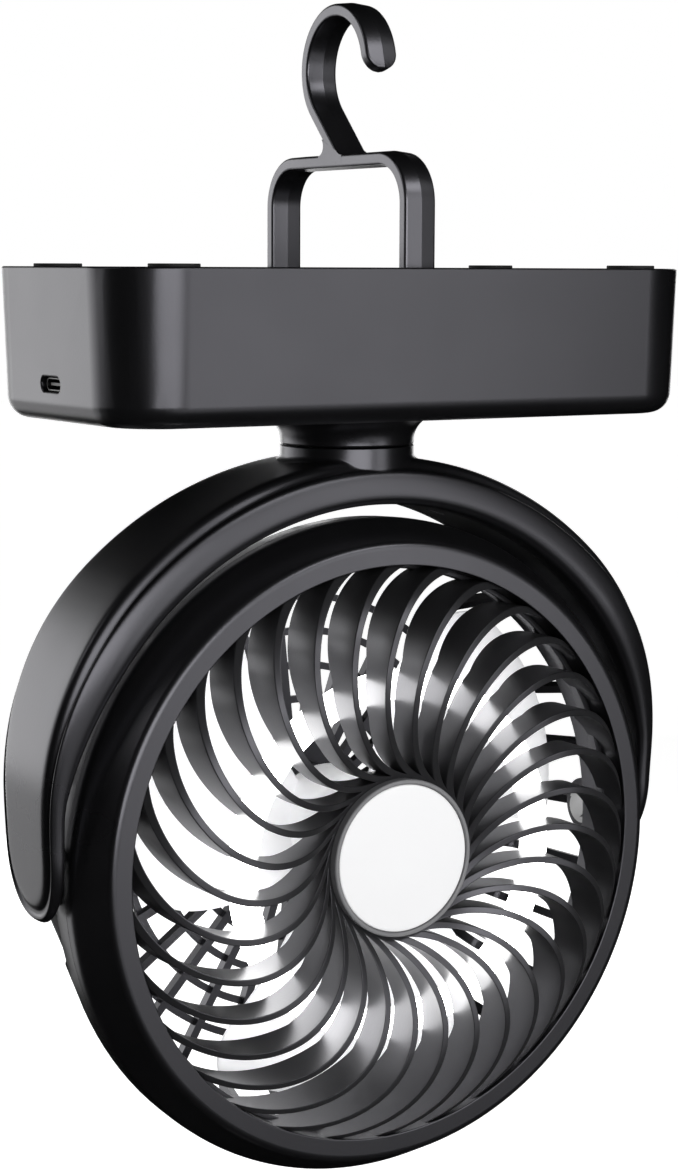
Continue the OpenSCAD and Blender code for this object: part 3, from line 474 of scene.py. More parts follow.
def new_piece(name, shells, finish, body, nodes=(), sharp=35):
    """A piece from closed grids of points."""
    points, faces = join(shells)
    mesh = bpy.data.meshes.new(name)
    mesh.from_pydata(points.tolist(), [], faces.tolist())
    work = bmesh.new()
    work.from_mesh(mesh)
    bmesh.ops.remove_doubles(work, verts=work.verts, dist=1e-7)
    bmesh.ops.holes_fill(work, edges=[edge for edge in work.edges if edge.is_boundary])
    bmesh.ops.recalc_face_normals(work, faces=work.faces)
    work.to_mesh(mesh)
    work.free()
    print(f"{name}: {len(mesh.polygons)} faces")
    return place_piece(name, mesh, finish, body, nodes, sharp)


def parabola(start, bend, end, t):
    """Points from start to end on a curve that leaves and arrives along lines to bend."""
    return (1 - t) ** 2 * start + 2 * t * (1 - t) * bend + t**2 * end


def softened(corners, ease, steps=4, held=0.0):
    """A closed outline whose corners are cut back by ease and rounded by a parabola.

    Held points lie a little further along both sides of each corner, and keep the
    faces between the corners flat to their ends.
    """
    corner = np.asarray(corners, float)
    ease = np.broadcast_to(ease, len(corner))[:, None]

    def towards(other, distance):
        way = other - corner
        return corner + way / np.linalg.norm(way, axis=1, keepdims=True) * distance

    before, after = np.roll(corner, 1, 0), np.roll(corner, -1, 0)
    start, end = towards(before, ease), towards(after, ease)
    t = np.linspace(0, 1, steps)[None, :, None]
    curve = parabola(start[:, None], corner[:, None], end[:, None], t)
    if held:
        hold = towards(before, ease + held)[:, None], towards(after, ease + held)[:, None]
        curve = np.concatenate([hold[0], curve, hold[1]], 1)
    return curve.reshape(-1, 2)


def full_turn(steps):
    """Evenly spaced angles once round, as a column."""
    return np.linspace(0, 2 * np.pi, steps, endpoint=False)[:, None]


def revolved(outline, closed=True, steps=144):
    """An outline of (radius, forward) pairs carried once round the fan's axis."""
    radius, forward = np.asarray(outline, float).T
    turn = full_turn(steps)
    points = head_points(radius * np.cos(turn), radius * np.sin(turn), forward)
    return points, quads(steps, len(radius), round_rows=True, round_columns=closed)


# %% [markdown]
# ## Easing the moulded edges
#
# No moulded edge is perfectly sharp, and it is the small rounding that catches the
# light. The CAD meshes are loose triangles, so each shell gets a copy: its points
# are merged, its flat faces made whole again, and a Bevel modifier rounds whatever
# is still a sharp edge. The copy then stands for its node.

# %% Eased copies
BEVEL_STEPS = 2
FLAT_WITHIN = 0.4  # degrees between faces that count as one


def merged_copy(node):
    """The node's mesh with its points merged and its flat faces whole."""
    work = bmesh.new()
    work.from_mesh(frame["nodes"][node].data)
    bmesh.ops.remove_doubles(work, verts=work.verts, dist=2e-6)
    flat = {"verts": work.verts, "edges": work.edges}
    bmesh.ops.dissolve_limit(work, angle_limit=radians(FLAT_WITHIN), **flat)
    mesh = bpy.data.meshes.new(node + "_eased")
    work.to_mesh(mesh)
    work.free()
    return mesh


def rounded_edges(piece, width, angle, clamp=False):
    """Rounds edges sharper than angle by width millimetres, and keeps flat faces flat."""
    bevel = piece.modifiers.new("eased edges", "BEVEL")
    bevel.width = width * MM
    bevel.segments = BEVEL_STEPS
    bevel.limit_method = "ANGLE"
    bevel.angle_limit = radians(angle)
    bevel.use_clamp_overlap = clamp
    shading = piece.modifiers.new("flat faces lead", "WEIGHTED_NORMAL")
    shading.weight = 100
    shading.keep_sharp = True


def eased(node, width, angle=35, clamp=False):
    """A copy of a node with rounded edges, in its place."""
    body, slot = frame["nodes"][node]["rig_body"], SLOT_OF[node]
    mesh = merged_copy(node)
    piece = place_piece(node + "_eased", mesh, FINISHES[slot], body, [node], angle)
    rounded_edges(piece, width, angle, clamp)
    return piece


EASED = {  # how wide each solid's edges are rounded, in millimetres
    "base_shell": 0.5,
    "base_cover": 0.35,
    "fan_button": 0.25,
    "light_button": 0.25,
    "yoke_liner": 0.25,
    "hub_rim": 0.35,
    "rear_shell": 0.3,
    "rear_cap": 0.4,
}
for node, width in EASED.items():
    eased(node, width, clamp=node == "rear_shell")  # its guard's bars are thin
print("eased", len(EASED), "nodes")

# %% [markdown]
# ## The yoke
#
# The yoke is one band over the crown and down both arms, with a groove and a
# rounded bead along its edges that also run round the arms' ends. So the path isn't
# the band's middle line but its edge, a closed loop. What is carried along it is
# half a section: from the middle of the outside over the shoulder, the groove and
# the bead to the middle of the inside. Round an arm's end the half sections fan out
# from one point, and the bead follows by itself.

# %% Yoke sizes
YOKE_R = 108.0  # outside of the crown
YOKE_INNER_R = 95.0  # inside of the crown
YOKE_GAP = 92.8  # from the middle to the arms' flat inner faces
YOKE_HALF_W = extent("yoke_frame")[1][0]
NECK_TOP = extent("yoke_frame")[1][2] - AXIS_Z
CROWN_END = radians(48)  # where the crown's circle gives way to the side's
SWEEP_R = 250.0  # the arms below their widest place
ARM_TAIL = -12.0  # the arms' lowest point
END_LEN = 22.0  # the arms' rounded ends
END_POWER = 2 / 2.3  # 1 would make an end half an ellipse, less makes it blunter
ARM_HALF = 15.0
CROWN_HALF = 20.2
WIDENING = (5.0, 70.0)  # heights between which the band grows from arm to crown
YOKE_WALL = 2.5
LINER_END = radians(26)
LINER_HALF = 13.05
SIDE_R = (YOKE_HALF_W - YOKE_R * np.cos(CROWN_END)) / (1 - np.cos(CROWN_END))
SIDE_MID = (YOKE_R - SIDE_R) * np.array([np.cos(CROWN_END), np.sin(CROWN_END)])
print(f"yoke {2 * YOKE_HALF_W:.1f} mm wide, side arcs of {SIDE_R:.1f} mm")


def band_line(turn):
    """The band's outside and its normal, for a direction of that normal.

    The crown is a circle round the fan's axis, each side a tighter one that touches
    it, and the arm below its widest point a slow one.
    """
    normal = np.stack([np.cos(turn), np.sin(turn)], -1)
    crown = YOKE_R * normal
    side = SIDE_MID + SIDE_R * normal
    arm = np.array([YOKE_HALF_W - SWEEP_R, SIDE_MID[1]]) + SWEEP_R * normal
    over, beside = (turn >= CROWN_END)[..., None], (turn >= 0)[..., None]
    return np.where(over, crown, np.where(beside, side, arm)), normal


def band_depth(turn):
    """Depth along the normal to the inside: a circle over the head, a plane beside it."""
    at, normal = band_line(turn)
    along = (at * normal).sum(-1)
    circle = along - np.sqrt(np.clip(along**2 - (at**2).sum(-1) + YOKE_INNER_R**2, 0, None))
    plane = (at[..., 0] - YOKE_GAP) / np.maximum(normal[..., 0], 1e-6)
    return np.where(at[..., 1] < 0, plane, np.maximum(circle, plane))


# %% The yoke's section


def smooth_line(corners, steps=6):
    """Parabolas from the middle of each edge to that of the next, bent by the corner."""
    middle = (corners[..., 1:] + corners[..., :-1]) / 2
    start = np.concatenate([corners[..., :1], middle[..., 1:-1]], -1)[..., None]
    end = np.concatenate([middle[..., 1:-1], corners[..., -1:]], -1)[..., None]
    t = np.linspace(0, 1, steps, endpoint=False)
    curve = parabola(start, corners[..., 1:-1, None], end, t)
    return np.concatenate([curve.reshape(*corners.shape[:-1], -1), corners[..., -1:]], -1)


def half_section(turn, half):
    """Shares of the band's depth and half width: shoulder, groove, bead, inside, hollow.

    The groove is deep on the arms and fades towards the crown, where the bead grows.
    Between the liner's ends the inside opens into the hollow behind the crown's wall.
    """
    rise = np.clip(np.sin(turn), 0, 1) ** 2
    at, _ = band_line(turn)
    lined = np.arctan2(at[..., 1], at[..., 0]) > LINER_END
    groove = (0.14 + 0.26 * rise) * (1 - 0.35 * rise)
    dip, nose = 0.2 * (1 - rise), 0.44 + 0.2 * rise
    flat = 0.545 + 0.07 * np.sin(2 * np.clip(turn, 0, np.pi / 2))
    mouth = np.where(lined, LINER_HALF / half, 0.65)
    corners = [
        (0, 0),  # middle of the outside
        (0, flat),
        (0.1 * groove, 0.4 + 0.66 * flat),  # shoulder
        (groove + dip, 0.855),  # bottom of the groove
        (0.75 * groove + 0.25 * groove * rise, 0.925),
        (0.7 * nose, 0.972),  # crest of the bead
        (0.42 + 0.58 * nose, 1),  # widest place
        (0.95, 0.955),
        (1, 0.83),  # inside
        (1, mouth),
    ]
    shares = [np.broadcast_arrays(turn, *share)[1:] for share in zip(*corners)]
    depth, width = [smooth_line(np.stack(share, -1)) for share in shares]
    floor = np.where(lined, YOKE_WALL / band_depth(turn), 1.0)
    depth = np.concatenate([depth, np.stack([floor, floor], -1)], -1)
    width = np.concatenate([width, np.stack([mouth, 0 * mouth], -1)], -1)
    return depth, width


print("half a section has", half_section(np.zeros(1), ARM_HALF)[0].size, "points")

# %% The yoke's loop


def yoke_quarter(end_steps=24, steps=96):
    """Half sections from an arm's lowest point, along its front edge, up to the crown."""
    end_mid = ARM_TAIL + END_LEN
    start = np.arcsin((end_mid - SIDE_MID[1]) / SWEEP_R)
    upwards = np.linspace(start, np.pi / 2, steps + 1)[1:]
    turn = np.concatenate([np.full(end_steps, start), upwards])
    lean = np.concatenate([np.linspace(np.pi / 2, 0, end_steps), np.zeros(steps)])
    low, high = WIDENING
    share = np.clip((band_line(turn)[0][:, 1] - low) / (high - low), 0, 1)
    half = ARM_HALF + (CROWN_HALF - ARM_HALF) * share**2 * (3 - 2 * share)
    depth, width = half_section(turn, half)
    y = -width * (half * np.cos(lean) ** END_POWER)[:, None]
    below = width * (END_LEN * np.sin(lean) ** END_POWER)[:, None]
    in_end = np.arcsin((end_mid - below - SIDE_MID[1]) / SWEEP_R)
    turn = np.where(lean[:, None] > 0, in_end, turn[:, None])
    at, normal = band_line(turn)
    place = at - (depth * band_depth(turn))[..., None] * normal
    return np.stack([place[..., 0], y, place[..., 1]], -1)


def yoke_loop():
    """The quarter, mirrored to the other arm and to the rear, as one closed loop."""
    up, down = yoke_quarter(), yoke_quarter()[::-1]
    loop = np.concatenate([up, down * [-1, 1, 1], up * [-1, -1, 1], down * [1, -1, 1]])
    points = (loop.reshape(-1, 3) + [0, 0, AXIS_Z]) * MM
    return points, quads(*loop.shape[:2], round_rows=True, round_columns=False)


# %% The neck
NECK_R = 18.5
NECK_EASE = 0.3
POST_R = 9.6
OUTSIDE = 36  # points of a half section from its middle to its widest place


def crown_height(x, y):
    """Height of the crown's outside: a circle whose radius shrinks with the shoulder."""
    top = np.array([np.pi / 2])
    depth, width = half_section(top, CROWN_HALF)
    width, depth = width[0, :OUTSIDE] * CROWN_HALF, depth[0, :OUTSIDE] * band_depth(top)[0]
    drop = np.interp(np.abs(y), width, depth)
    return np.sqrt((YOKE_R - drop) ** 2 - x**2)


def neck(steps=144):
    """A round boss that runs out over the crown in a small hollow curve.

    Across the crown the curve is wide, and at the front and rear, where the crown
    falls away steeply, it is narrow.
    """
    turn = full_turn(steps)
    flare = 0.5 + 1.3 * np.cos(turn) ** 2
    bend = np.linspace(0, np.pi / 2, 8)
    skirt_r = NECK_R + flare * (1 - np.cos(bend))
    crown = crown_height(skirt_r * np.cos(turn), skirt_r * np.sin(turn))
    skirt_z = crown + flare * (1 - np.sin(bend)) - 0.03
    rim = np.linspace(0, np.pi / 2, 5)
    rim_r = NECK_R - NECK_EASE + NECK_EASE * np.sin(rim)
    rim_z = NECK_TOP - NECK_EASE + NECK_EASE * np.cos(rim)
    # The last two rings lie inside the crown's wall, where nothing shows.
    same = np.ones_like(turn)
    radius = [POST_R * same, rim_r * same, skirt_r, skirt_r[:, -1:] - 0.4, POST_R * same]
    height = [NECK_TOP * same, rim_z * same, skirt_z, skirt_z[:, -1:] - 1.2]
    height += [(YOKE_R - 7) * same]
    radius, height = np.concatenate(radius, 1), np.concatenate(height, 1)
    points = np.stack([radius * np.cos(turn), radius * np.sin(turn), height + AXIS_Z], -1)
    return points.reshape(-1, 3) * MM, quads(*radius.shape, round_rows=True)


new_piece("yoke_band", [yoke_loop(), neck()], charcoal, "yoke", ["yoke_frame"])

# %% [markdown]
# ## The hook
#
# The hook is one strip, bent into a frame for the base and a crook for the rope.
# Its wide faces aren't flat: two facets fall away from a crease in the middle, and
# every edge is rounded. A bend in a finished mesh would smear that crease, so the
# strip is carried along its path as a section, and the section keeps the crease.
# The lowest part of each leg, with its bore for the pin, stays the solid's own.

# %% Hook sizes
STRIP_T = 4.2
STRIP_HALF = 4.75
CREASE_DROP = 0.5  # how far the facets fall from the crease to the sides
CREASE_EASE = 0.12
STRIP_EASE = 0.7
THROAT_MID_R = 15.6  # all radii and places are those of the strip's middle
STEM_SLOPE = radians(46)
TIP_TURN = radians(165)  # where the throat's arc gives way to the straight tip
TIP_LEN = 5.5
FRAME_HALF = 34.65
FRAME_TOP = -24.5
FRAME_BEND = 11.9
LEG_CUT = -54.0  # below this height the legs stay the solid's own
LEG_OVERLAP = 0.6
FOOT_PROUD = 0.02  # how far the stem's foot stands out beyond the strip's sides
print(f"hook strip {2 * STRIP_HALF:.1f} by {STRIP_T:.1f} mm")


def strip_section():
    """Six corners: the crease, two sides, the crease below, two sides; all softened."""
    side = STRIP_T / 2 - CREASE_DROP
    corners = [(0, STRIP_T / 2), (-STRIP_HALF, side), (-STRIP_HALF, -side)]
    corners += [(0, -STRIP_T / 2), (STRIP_HALF, -side), (STRIP_HALF, side)]
    return softened(corners, [CREASE_EASE, STRIP_EASE, STRIP_EASE] * 2, held=0.1)


def strip(way, heading, from_tip=None):
    """The section at every station of a path in the (Y, Z) plane.

    The section stands square to the heading. Near a tip the strip's half width
    follows a half circle, and its thickness a quarter circle as long as the ease.
    """
    across, height = strip_section().T
    width, thickness = 1.0, 1.0
    if from_tip is not None:
        inner = np.clip(1 - from_tip / STRIP_HALF, 0, 1)
        width = np.sqrt(1 - inner**2)[:, None]
        inner = np.clip(1 - from_tip / STRIP_EASE, 0, 1)
        thickness = (1 - STRIP_EASE * 2 / STRIP_T * (1 - np.sqrt(1 - inner**2)))[:, None]
    square = heading[:, None] + np.pi / 2
    rise = height * thickness
    y, z = way[:, :1] + rise * np.cos(square), way[:, 1:] + rise * np.sin(square)
    points = np.stack(np.broadcast_arrays(across * width, y, z), -1)
    return points.reshape(-1, 3) * MM, quads(len(way), len(across))


# %% The crook


def crook():
    """The path runs along the rounded, straight tip, round the arc, and down the stem."""
    turn = np.linspace(TIP_TURN, STEM_SLOPE - np.pi / 2, 90)
    arc = THROAT_MID_R * np.stack([np.cos(turn), np.sin(turn)], -1)
    heading = turn - np.pi / 2
    round_end = STRIP_HALF * (1 - np.cos(np.linspace(0, np.pi / 2, 18)))
    tip_dist = np.append(round_end, TIP_LEN - 0.2)
    back = (TIP_LEN - tip_dist)[:, None]
    tip = arc[0] - back * [np.cos(heading[0]), np.sin(heading[0])]
    stem_len = (arc[-1, 1] - FRAME_TOP) / np.sin(STEM_SLOPE)
    along = np.linspace(0.3, stem_len, 12)[:, None]
    stem = arc[-1] + along * [np.cos(heading[-1]), np.sin(heading[-1])]
    way = np.concatenate([tip, arc, stem])
    heading = np.pad(heading, (len(tip), len(stem)), mode="edge")
    from_tip = np.concatenate([tip_dist, np.full(len(way) - len(tip), TIP_LEN + STRIP_HALF)])
    return strip(way, heading, from_tip)


# %% The frame round the base


def frame_strip():
    """Up one leg, round a quarter bend, along the top, round the other, and down."""
    bend = np.linspace(0, np.pi / 2, 24)
    y = FRAME_HALF - FRAME_BEND * (1 - np.cos(bend))
    z = FRAME_TOP - FRAME_BEND * (1 - np.sin(bend))
    foot = [[FRAME_HALF, LEG_CUT - LEG_OVERLAP]]
    half = np.concatenate([foot, np.stack([y, z], -1)])
    way = np.concatenate([half, half[::-1] * [-1, 1]])
    heading = np.concatenate([[np.pi / 2], bend + np.pi / 2])
    return strip(way, np.concatenate([heading, 2 * np.pi - heading[::-1]]))


# %% The stem's foot


def hollow_corner(corner, first, last, radius):
    """Points of a concave arc that touches both rays from a corner."""
    first, last = np.asarray(first, float), np.asarray(last, float)
    half = np.arccos(np.clip(first @ last, -1, 1)) / 2
    middle = (first + last) / np.linalg.norm(first + last)
    centre = corner + middle * radius / np.sin(half)
    start = corner + first * radius / np.tan(half) - centre
    end = corner + last * radius / np.tan(half) - centre
    share = np.linspace(0, 1, 12)[:, None]
    sweep = np.pi - 2 * half
    way = (np.sin((1 - share) * sweep) * start + np.sin(share * sweep) * end) / np.sin(sweep)
    return centre + way


def slab(outline):
    """An outline in the (Y, Z) plane, carried a hair further than the strip's width."""
    across = np.array([-1, 1])[:, None] * (STRIP_HALF + FOOT_PROUD)
    y, z = outline.T
    points = np.stack(np.broadcast_arrays(across, y, z), -1)
    return points.reshape(-1, 3) * MM, quads(2, len(outline))


def stem_foot(left_r=3.6, right_r=2.6):
    """A web between the frame and the stem, with a concave arc on either side."""
    side = STRIP_T / 2 - CREASE_DROP
    top = FRAME_TOP + side
    lean = np.array([np.cos(STEM_SLOPE), np.sin(STEM_SLOPE)])
    arc_end = THROAT_MID_R * np.array([np.sin(STEM_SLOPE), -np.cos(STEM_SLOPE)])
    foot = arc_end - lean * (arc_end[1] - top) / lean[1]
    half = side / lean[1]
    left = hollow_corner(foot + [-half, 0], (-1, 0), lean, left_r)
    right = hollow_corner(foot + [half, 0], lean, (1, 0), right_r)
    sunk = [(left[0, 0], top - 2)], [(right[-1, 0], top - 2)]
    return slab(np.concatenate([sunk[0], left, right, sunk[1]]))


strips = [crook(), frame_strip(), stem_foot()]
new_piece("hook_strip", strips, hook_plastic, "hook", ["hook"], sharp=50)

# %% The hook's leg ends


def leg_ends():
    """The solid's own leg ends, cut off above LEG_CUT and closed."""
    mesh = merged_copy("hook")
    work = bmesh.new()
    work.from_mesh(mesh)
    everything = work.verts[:] + work.edges[:] + work.faces[:]
    cut = {"plane_co": (0, 0, LEG_CUT * MM), "plane_no": (0, 0, 1), "clear_outer": True}
    bmesh.ops.bisect_plane(work, geom=everything, **cut)
    bmesh.ops.holes_fill(work, edges=[edge for edge in work.edges if edge.is_boundary])
    work.to_mesh(mesh)
    work.free()
    print(f"hook_leg_ends: {len(mesh.polygons)} faces")
    place_piece("hook_leg_ends", mesh, hook_plastic, "hook", ["hook"], 35)


leg_ends()

# %% [markdown]
# ## The feet
#
# Four rubber discs sit in shallow seats. A cylinder with a bevel would serve, but a
# profile turned round the disc's own upright axis gives the soft edge in one step.
# Its place follows from the corners of the box round all four.

# %% Feet
FOOT_R = 6.55
FOOT_EASE = 0.25


def foot(centre, low, high, steps=64):
    """A disc from low to high round an upright axis, with a soft upper edge."""
    corners = [(0, low), (FOOT_R, low), (FOOT_R, high), (0, high)]
    radius, height = softened(corners, [0.01, 0.1, FOOT_EASE, 0.01], held=0.1).T
    turn = full_turn(steps)
    x, y = centre[0] + radius * np.cos(turn), centre[1] + radius * np.sin(turn)
    points = np.stack(np.broadcast_arrays(x, y, height), -1)
    return points.reshape(-1, 3) * MM, quads(steps, len(radius), round_rows=True)


def all_feet():
    """A foot in every corner of the box round the solid's feet."""
    low, high = extent("feet")
    x, y = [(low[side] + FOOT_R, high[side] - FOOT_R) for side in (0, 1)]
    spots = [(x[0], y[0]), (x[0], y[1]), (x[1], y[0]), (x[1], y[1])]
    return [foot(spot, low[2], high[2]) for spot in spots]


new_piece("rubber_feet", all_feet(), rubber, "base", ["feet"])

# %% [markdown]
# ## The bezel
#
# The front half of the casing is one profile turned round the fan's axis: the wall,
# a ridge at the widest place, a cone up to the lip, the lip's flat face, and the
# duct. An eased copy of the solid would keep its facets, so the profile is turned
# anew in finer steps. What makes it look moulded is the rounding along the ridge and
# the lip, which draws bright lines round the front: these two get the widest eases.

# %% Bezel
LIP = reach_of("front_bezel")[1]
BEZEL_R = radius_of("front_bezel")
SEAM = 10.0  # the joint with the rear shell
DUCT_BACK = 5.0
BEZEL_WALL = 2.2
LIP_R = 85.28  # where the cone meets the lip's flat face
RIDGE = 13.77  # how far forward the widest part reaches
CONE_INSIDE = [(83.95, LIP - BEZEL_WALL), (88.62, 14.14)]
RIDGE_INSIDE = 12.2
RIDGE_EASE, LIP_EASE, DUCT_EASE = 1.6, 1.5, 0.35


def bezel():
    """The profile's corners: duct, inside of the cone, seam, ridge, lip."""
    duct_wall, case_wall = DUCT_R + BEZEL_WALL, BEZEL_R - BEZEL_WALL
    inside = [(DUCT_R, DUCT_BACK), (duct_wall, DUCT_BACK), (duct_wall, LIP - BEZEL_WALL)]
    inside += [*CONE_INSIDE, (case_wall, RIDGE_INSIDE), (case_wall, SEAM)]
    outside = [(BEZEL_R, SEAM), (BEZEL_R, RIDGE), (LIP_R, LIP), (DUCT_R, LIP)]
    eases = [0.3, 0.3, 0.2, 0.2, 0.2, 0.2, 0.3, 0.25, RIDGE_EASE, LIP_EASE, DUCT_EASE]
    return revolved(softened(inside + outside, eases, steps=6, held=0.08), steps=192)


new_piece("bezel_ring", [bezel()], dark_shell, "head", ["front_bezel"])

# %% [markdown]
# ## The swirl of fins
#
# Thirty thin fins run from the hub to the duct. Seen from the front each is part of
# a circle that touches the hub and the duct, and from the side their front edges
# follow a dome that bulges most above the lamp. So a fin is a path, an arc of that
# circle, with a slim section carried along it: the two front corners and the two
# rear corners are rounded, the front follows the dome, and the rear a flatter line.
# A straight cut would leave a gap at the round walls, so the points that would run
# past the hub or the duct are moved back to it.

# %% Fins
FINS = 30
FIN_T = 1.8
FIN_EASE = 0.22
FIN_DEPTH = 10.5
FIN_PHASE = radians(-17.1)
FIN_OVERRUN = 2.2  # how far past the duct the arc would run on
FIN_END = 0.12  # radians of the arc that the duct cuts off
OUTER_DROP = 1.5  # how far the fins' outer ends lie behind the lip
INNER_DROP = 2.6  # how far their inner ends lie behind the hub's face
CREST_R = 52.0
CREST_FLAT = 7.0  # half the width of the lamp's seat
COLLAR_BACK = 20.0
COLLAR_IN, COLLAR_OUT = 2.6, 0.9  # how far the collar reaches to either side of HUB_R
RING_WALL, RING_DEPTH = 1.6, 4.0
DOME = reach_of("front_grille")[1]
HUB_FACE = reach_of("hub_rim")[1]
COVER_R = radius_of("light_diffuser")
COVER_WIDTH = 8
LAMP_R = COVER_R - COVER_WIDTH / 2
DOME_END = DUCT_R + 0.1


def dome(radius):
    """Height of the fins' front at a radius: one arc outside the crest, one inside it."""
    reach = np.where(radius > CREST_R, DOME_END - CREST_R, CREST_R - HUB_R)
    drop = np.where(radius > CREST_R, DOME - LIP + OUTER_DROP, DOME - HUB_FACE + INNER_DROP)
    arc = (reach**2 + drop**2) / (2 * drop)
    return DOME - arc + np.sqrt(arc**2 - (radius - CREST_R) ** 2)


RING_BACK = float(dome(np.array(DOME_END))) - FIN_DEPTH


def fin_rear(radius):
    """Height of the fins' rear: straight lines past the lamp's seat to the duct."""
    seat = [LAMP_R - CREST_FLAT, LAMP_R + CREST_FLAT]
    flat = DOME - FIN_DEPTH
    return np.interp(radius, [HUB_R, *seat, DUCT_R], [COLLAR_BACK, flat, flat, RING_BACK])


def all_round(plan, height, count):
    """A grid repeated count times round the fan's axis.

    Its plan is across + 1j * up, so that a turn is a product.
    """
    plans = np.exp(2j * np.pi * np.arange(count) / count)[:, None, None] * plan
    starts = np.arange(count)[:, None, None] * plan.size
    faces = (quads(*plan.shape) + starts).reshape(-1, 4)
    return head_points(plans.real, plans.imag, height), faces


def fins(stations=72, corner_steps=3):
    """All fins as one grid of points: fin, station along the arc, point of the section.

    A section's corner is a quarter circle between two held points, 1.4 eases from
    where the faces would meet.
    """
    bend = np.linspace(0, np.pi / 2, corner_steps + 1)
    half, hold = FIN_T / 2, 1.4 * FIN_EASE
    side = np.concatenate([[half], half - FIN_EASE * (1 - np.cos(bend)), [half - hold]])
    inset = np.concatenate([[hold], FIN_EASE * (1 - np.sin(bend)), [0]])
    offset = np.concatenate([-side, side[::-1], side, -side[::-1]])
    inset = np.concatenate([inset, inset[::-1]] * 2)
    front = np.arange(len(offset)) < len(offset) // 2

    arc_r = (DUCT_R + FIN_OVERRUN - HUB_R) / 2
    centre = HUB_R + arc_r
    along = np.linspace(np.pi, FIN_END, stations)[:, None]
    plan = (centre + (arc_r + offset) * np.exp(1j * along)) * np.exp(1j * FIN_PHASE)
    reach = np.clip(np.abs(plan), HUB_R + 0.1, DUCT_R)
    plan = plan / np.abs(plan) * reach
    height = np.where(front, dome(reach) - inset, fin_rear(reach) + inset)
    return all_round(plan, height, FINS)


def hoop(inner, outer, back, front, ease=0.3):
    """A ring round the fan's axis with a rectangular section and rounded corners."""
    section = [(inner, back), (outer, back), (outer, front), (inner, front)]
    return revolved(softened(section, ease))


def collar():
    """The ring under the hub's rim that holds the fins' inner ends."""
    front = reach_of("hub_rim")[0]
    return hoop(HUB_R - COLLAR_IN, HUB_R + COLLAR_OUT, COLLAR_BACK, front)


def outer_ring():
    """The ring that holds the fins' outer ends inside the duct."""
    return hoop(DUCT_R - RING_WALL, DUCT_R, RING_BACK, RING_BACK + RING_DEPTH)


swirl = [fins(), collar(), outer_ring()]
new_piece("front_fins", swirl, fin_plastic, "head", ["front_grille"], sharp=50)

# %% [markdown]
# ## The hub disc and the lamp's cover
#
# Both are turned shapes, as the bezel is. The disc in the hub is moulded very
# slightly domed: on a flat face the light would lie evenly, and on a domed one it
# runs off towards the edge. The lamp's cover is a channel with soft corners.

# %% Disc and cover
DISC_DOME = 0.35
DISC_EASE = 0.4
COVER_WALL = 0.8


def hub_disc():
    """An outline from the axis over the dome, round the edge and back under the disc."""
    back, front = reach_of("hub_disc")
    flat_r = DISC_R - DISC_EASE
    radius = np.linspace(0, flat_r, 24)
    face = np.stack([radius, front - DISC_DOME * (radius / DISC_R) ** 2], -1)
    turn = np.linspace(0, np.pi / 2, 5)[1:]
    edge_z = front - DISC_DOME - DISC_EASE
    edge = np.stack([flat_r + DISC_EASE * np.sin(turn), edge_z + DISC_EASE * np.cos(turn)], -1)
    return revolved(np.concatenate([face, edge, [(DISC_R, back), (0, back)]]), closed=False)


new_piece("hub_disc_domed", [hub_disc()], disc_white, "head", ["hub_disc"])


def lamp_channel():
    """The cover's section: a channel, open to the back, with rounded front corners."""
    back, front = reach_of("light_diffuser")
    inner, wall = COVER_R - COVER_WIDTH, COVER_WALL
    outline = [(COVER_R, back), (COVER_R, front), (inner, front), (inner, back)]
    outline += [(inner + wall, back), (inner + wall, front - wall)]
    outline += [(COVER_R - wall, front - wall), (COVER_R - wall, back)]
    return revolved(softened(outline, [0.2, 1.2, 1.2, 0.2, 0.2, 0.5, 0.5, 0.2]))


new_piece("lamp_cover_ring", [lamp_channel()], lamp_cover, "head", ["light_diffuser"])

# %% [markdown]
# ## The impeller
#
# Three broad blades spiral round a drum that hides the motor. A flat plate that is
# bent by a modifier would keep its square edges. So a blade is a surface with two
# directions: out from the drum, and along its sweep, in which it turns round the
# axis and climbs at the same time. Its thickness is added along the axis, and fades
# to nothing round the whole outline, which closes the blade by itself.

# %% Blades
BLADES = 3
BLADE_SWEEP = radians(76)
BLADE_LAG = radians(-14)  # how far the tip trails the root
BLADE_START = radians(4)
BLADE_RISE = 15.0
BLADE_T = 1.5
CORNER_CUT = 0.13  # share of the sweep that the rounded tip corners take off
CORNER_POWER = 7
EDGE_POWER, ROOT_POWER = 30, 60  # the higher, the later the thickness fades
DRUM_R = radius_of("motor_can") + 3.5
DRUM_WALL = 2.2
BOSS_R = 5
BOSS_INSET = 3  # how far the boss ends before the drum's open rear
SHAFT_PROUD = 2  # how far the shaft comes through the drum's face
TIP_R = radius_of("impeller")


def blades(rows=36, columns=72):
    """All blades as one grid: blade, row outwards, point round the section."""
    outwards = np.linspace(0, 1, rows)[:, None]
    turn = full_turn(columns).T
    radius = DRUM_R - 1 + (TIP_R - DRUM_R + 1) * outwards
    half = 0.5 - CORNER_CUT * outwards**CORNER_POWER
    along = 0.5 - half * np.cos(turn)
    side = np.sign(np.round(np.sin(turn), 9))
    fade = np.sqrt(1 - np.abs(np.cos(turn)) ** EDGE_POWER) * side
    ends = np.sqrt(np.clip(1 - np.abs(2 * outwards - 1) ** ROOT_POWER, 0, 1))
    ends[[0, -1]] = 0
    angle = BLADE_LAG * outwards**2 + BLADE_START + BLADE_SWEEP * along
    front = reach_of("impeller")[1]
    height = front - BLADE_RISE * (1 - along) + BLADE_T / 2 * fade * ends
    height = np.clip(height, front - BLADE_RISE, front)
    return all_round(radius * np.exp(1j * angle), height, BLADES)


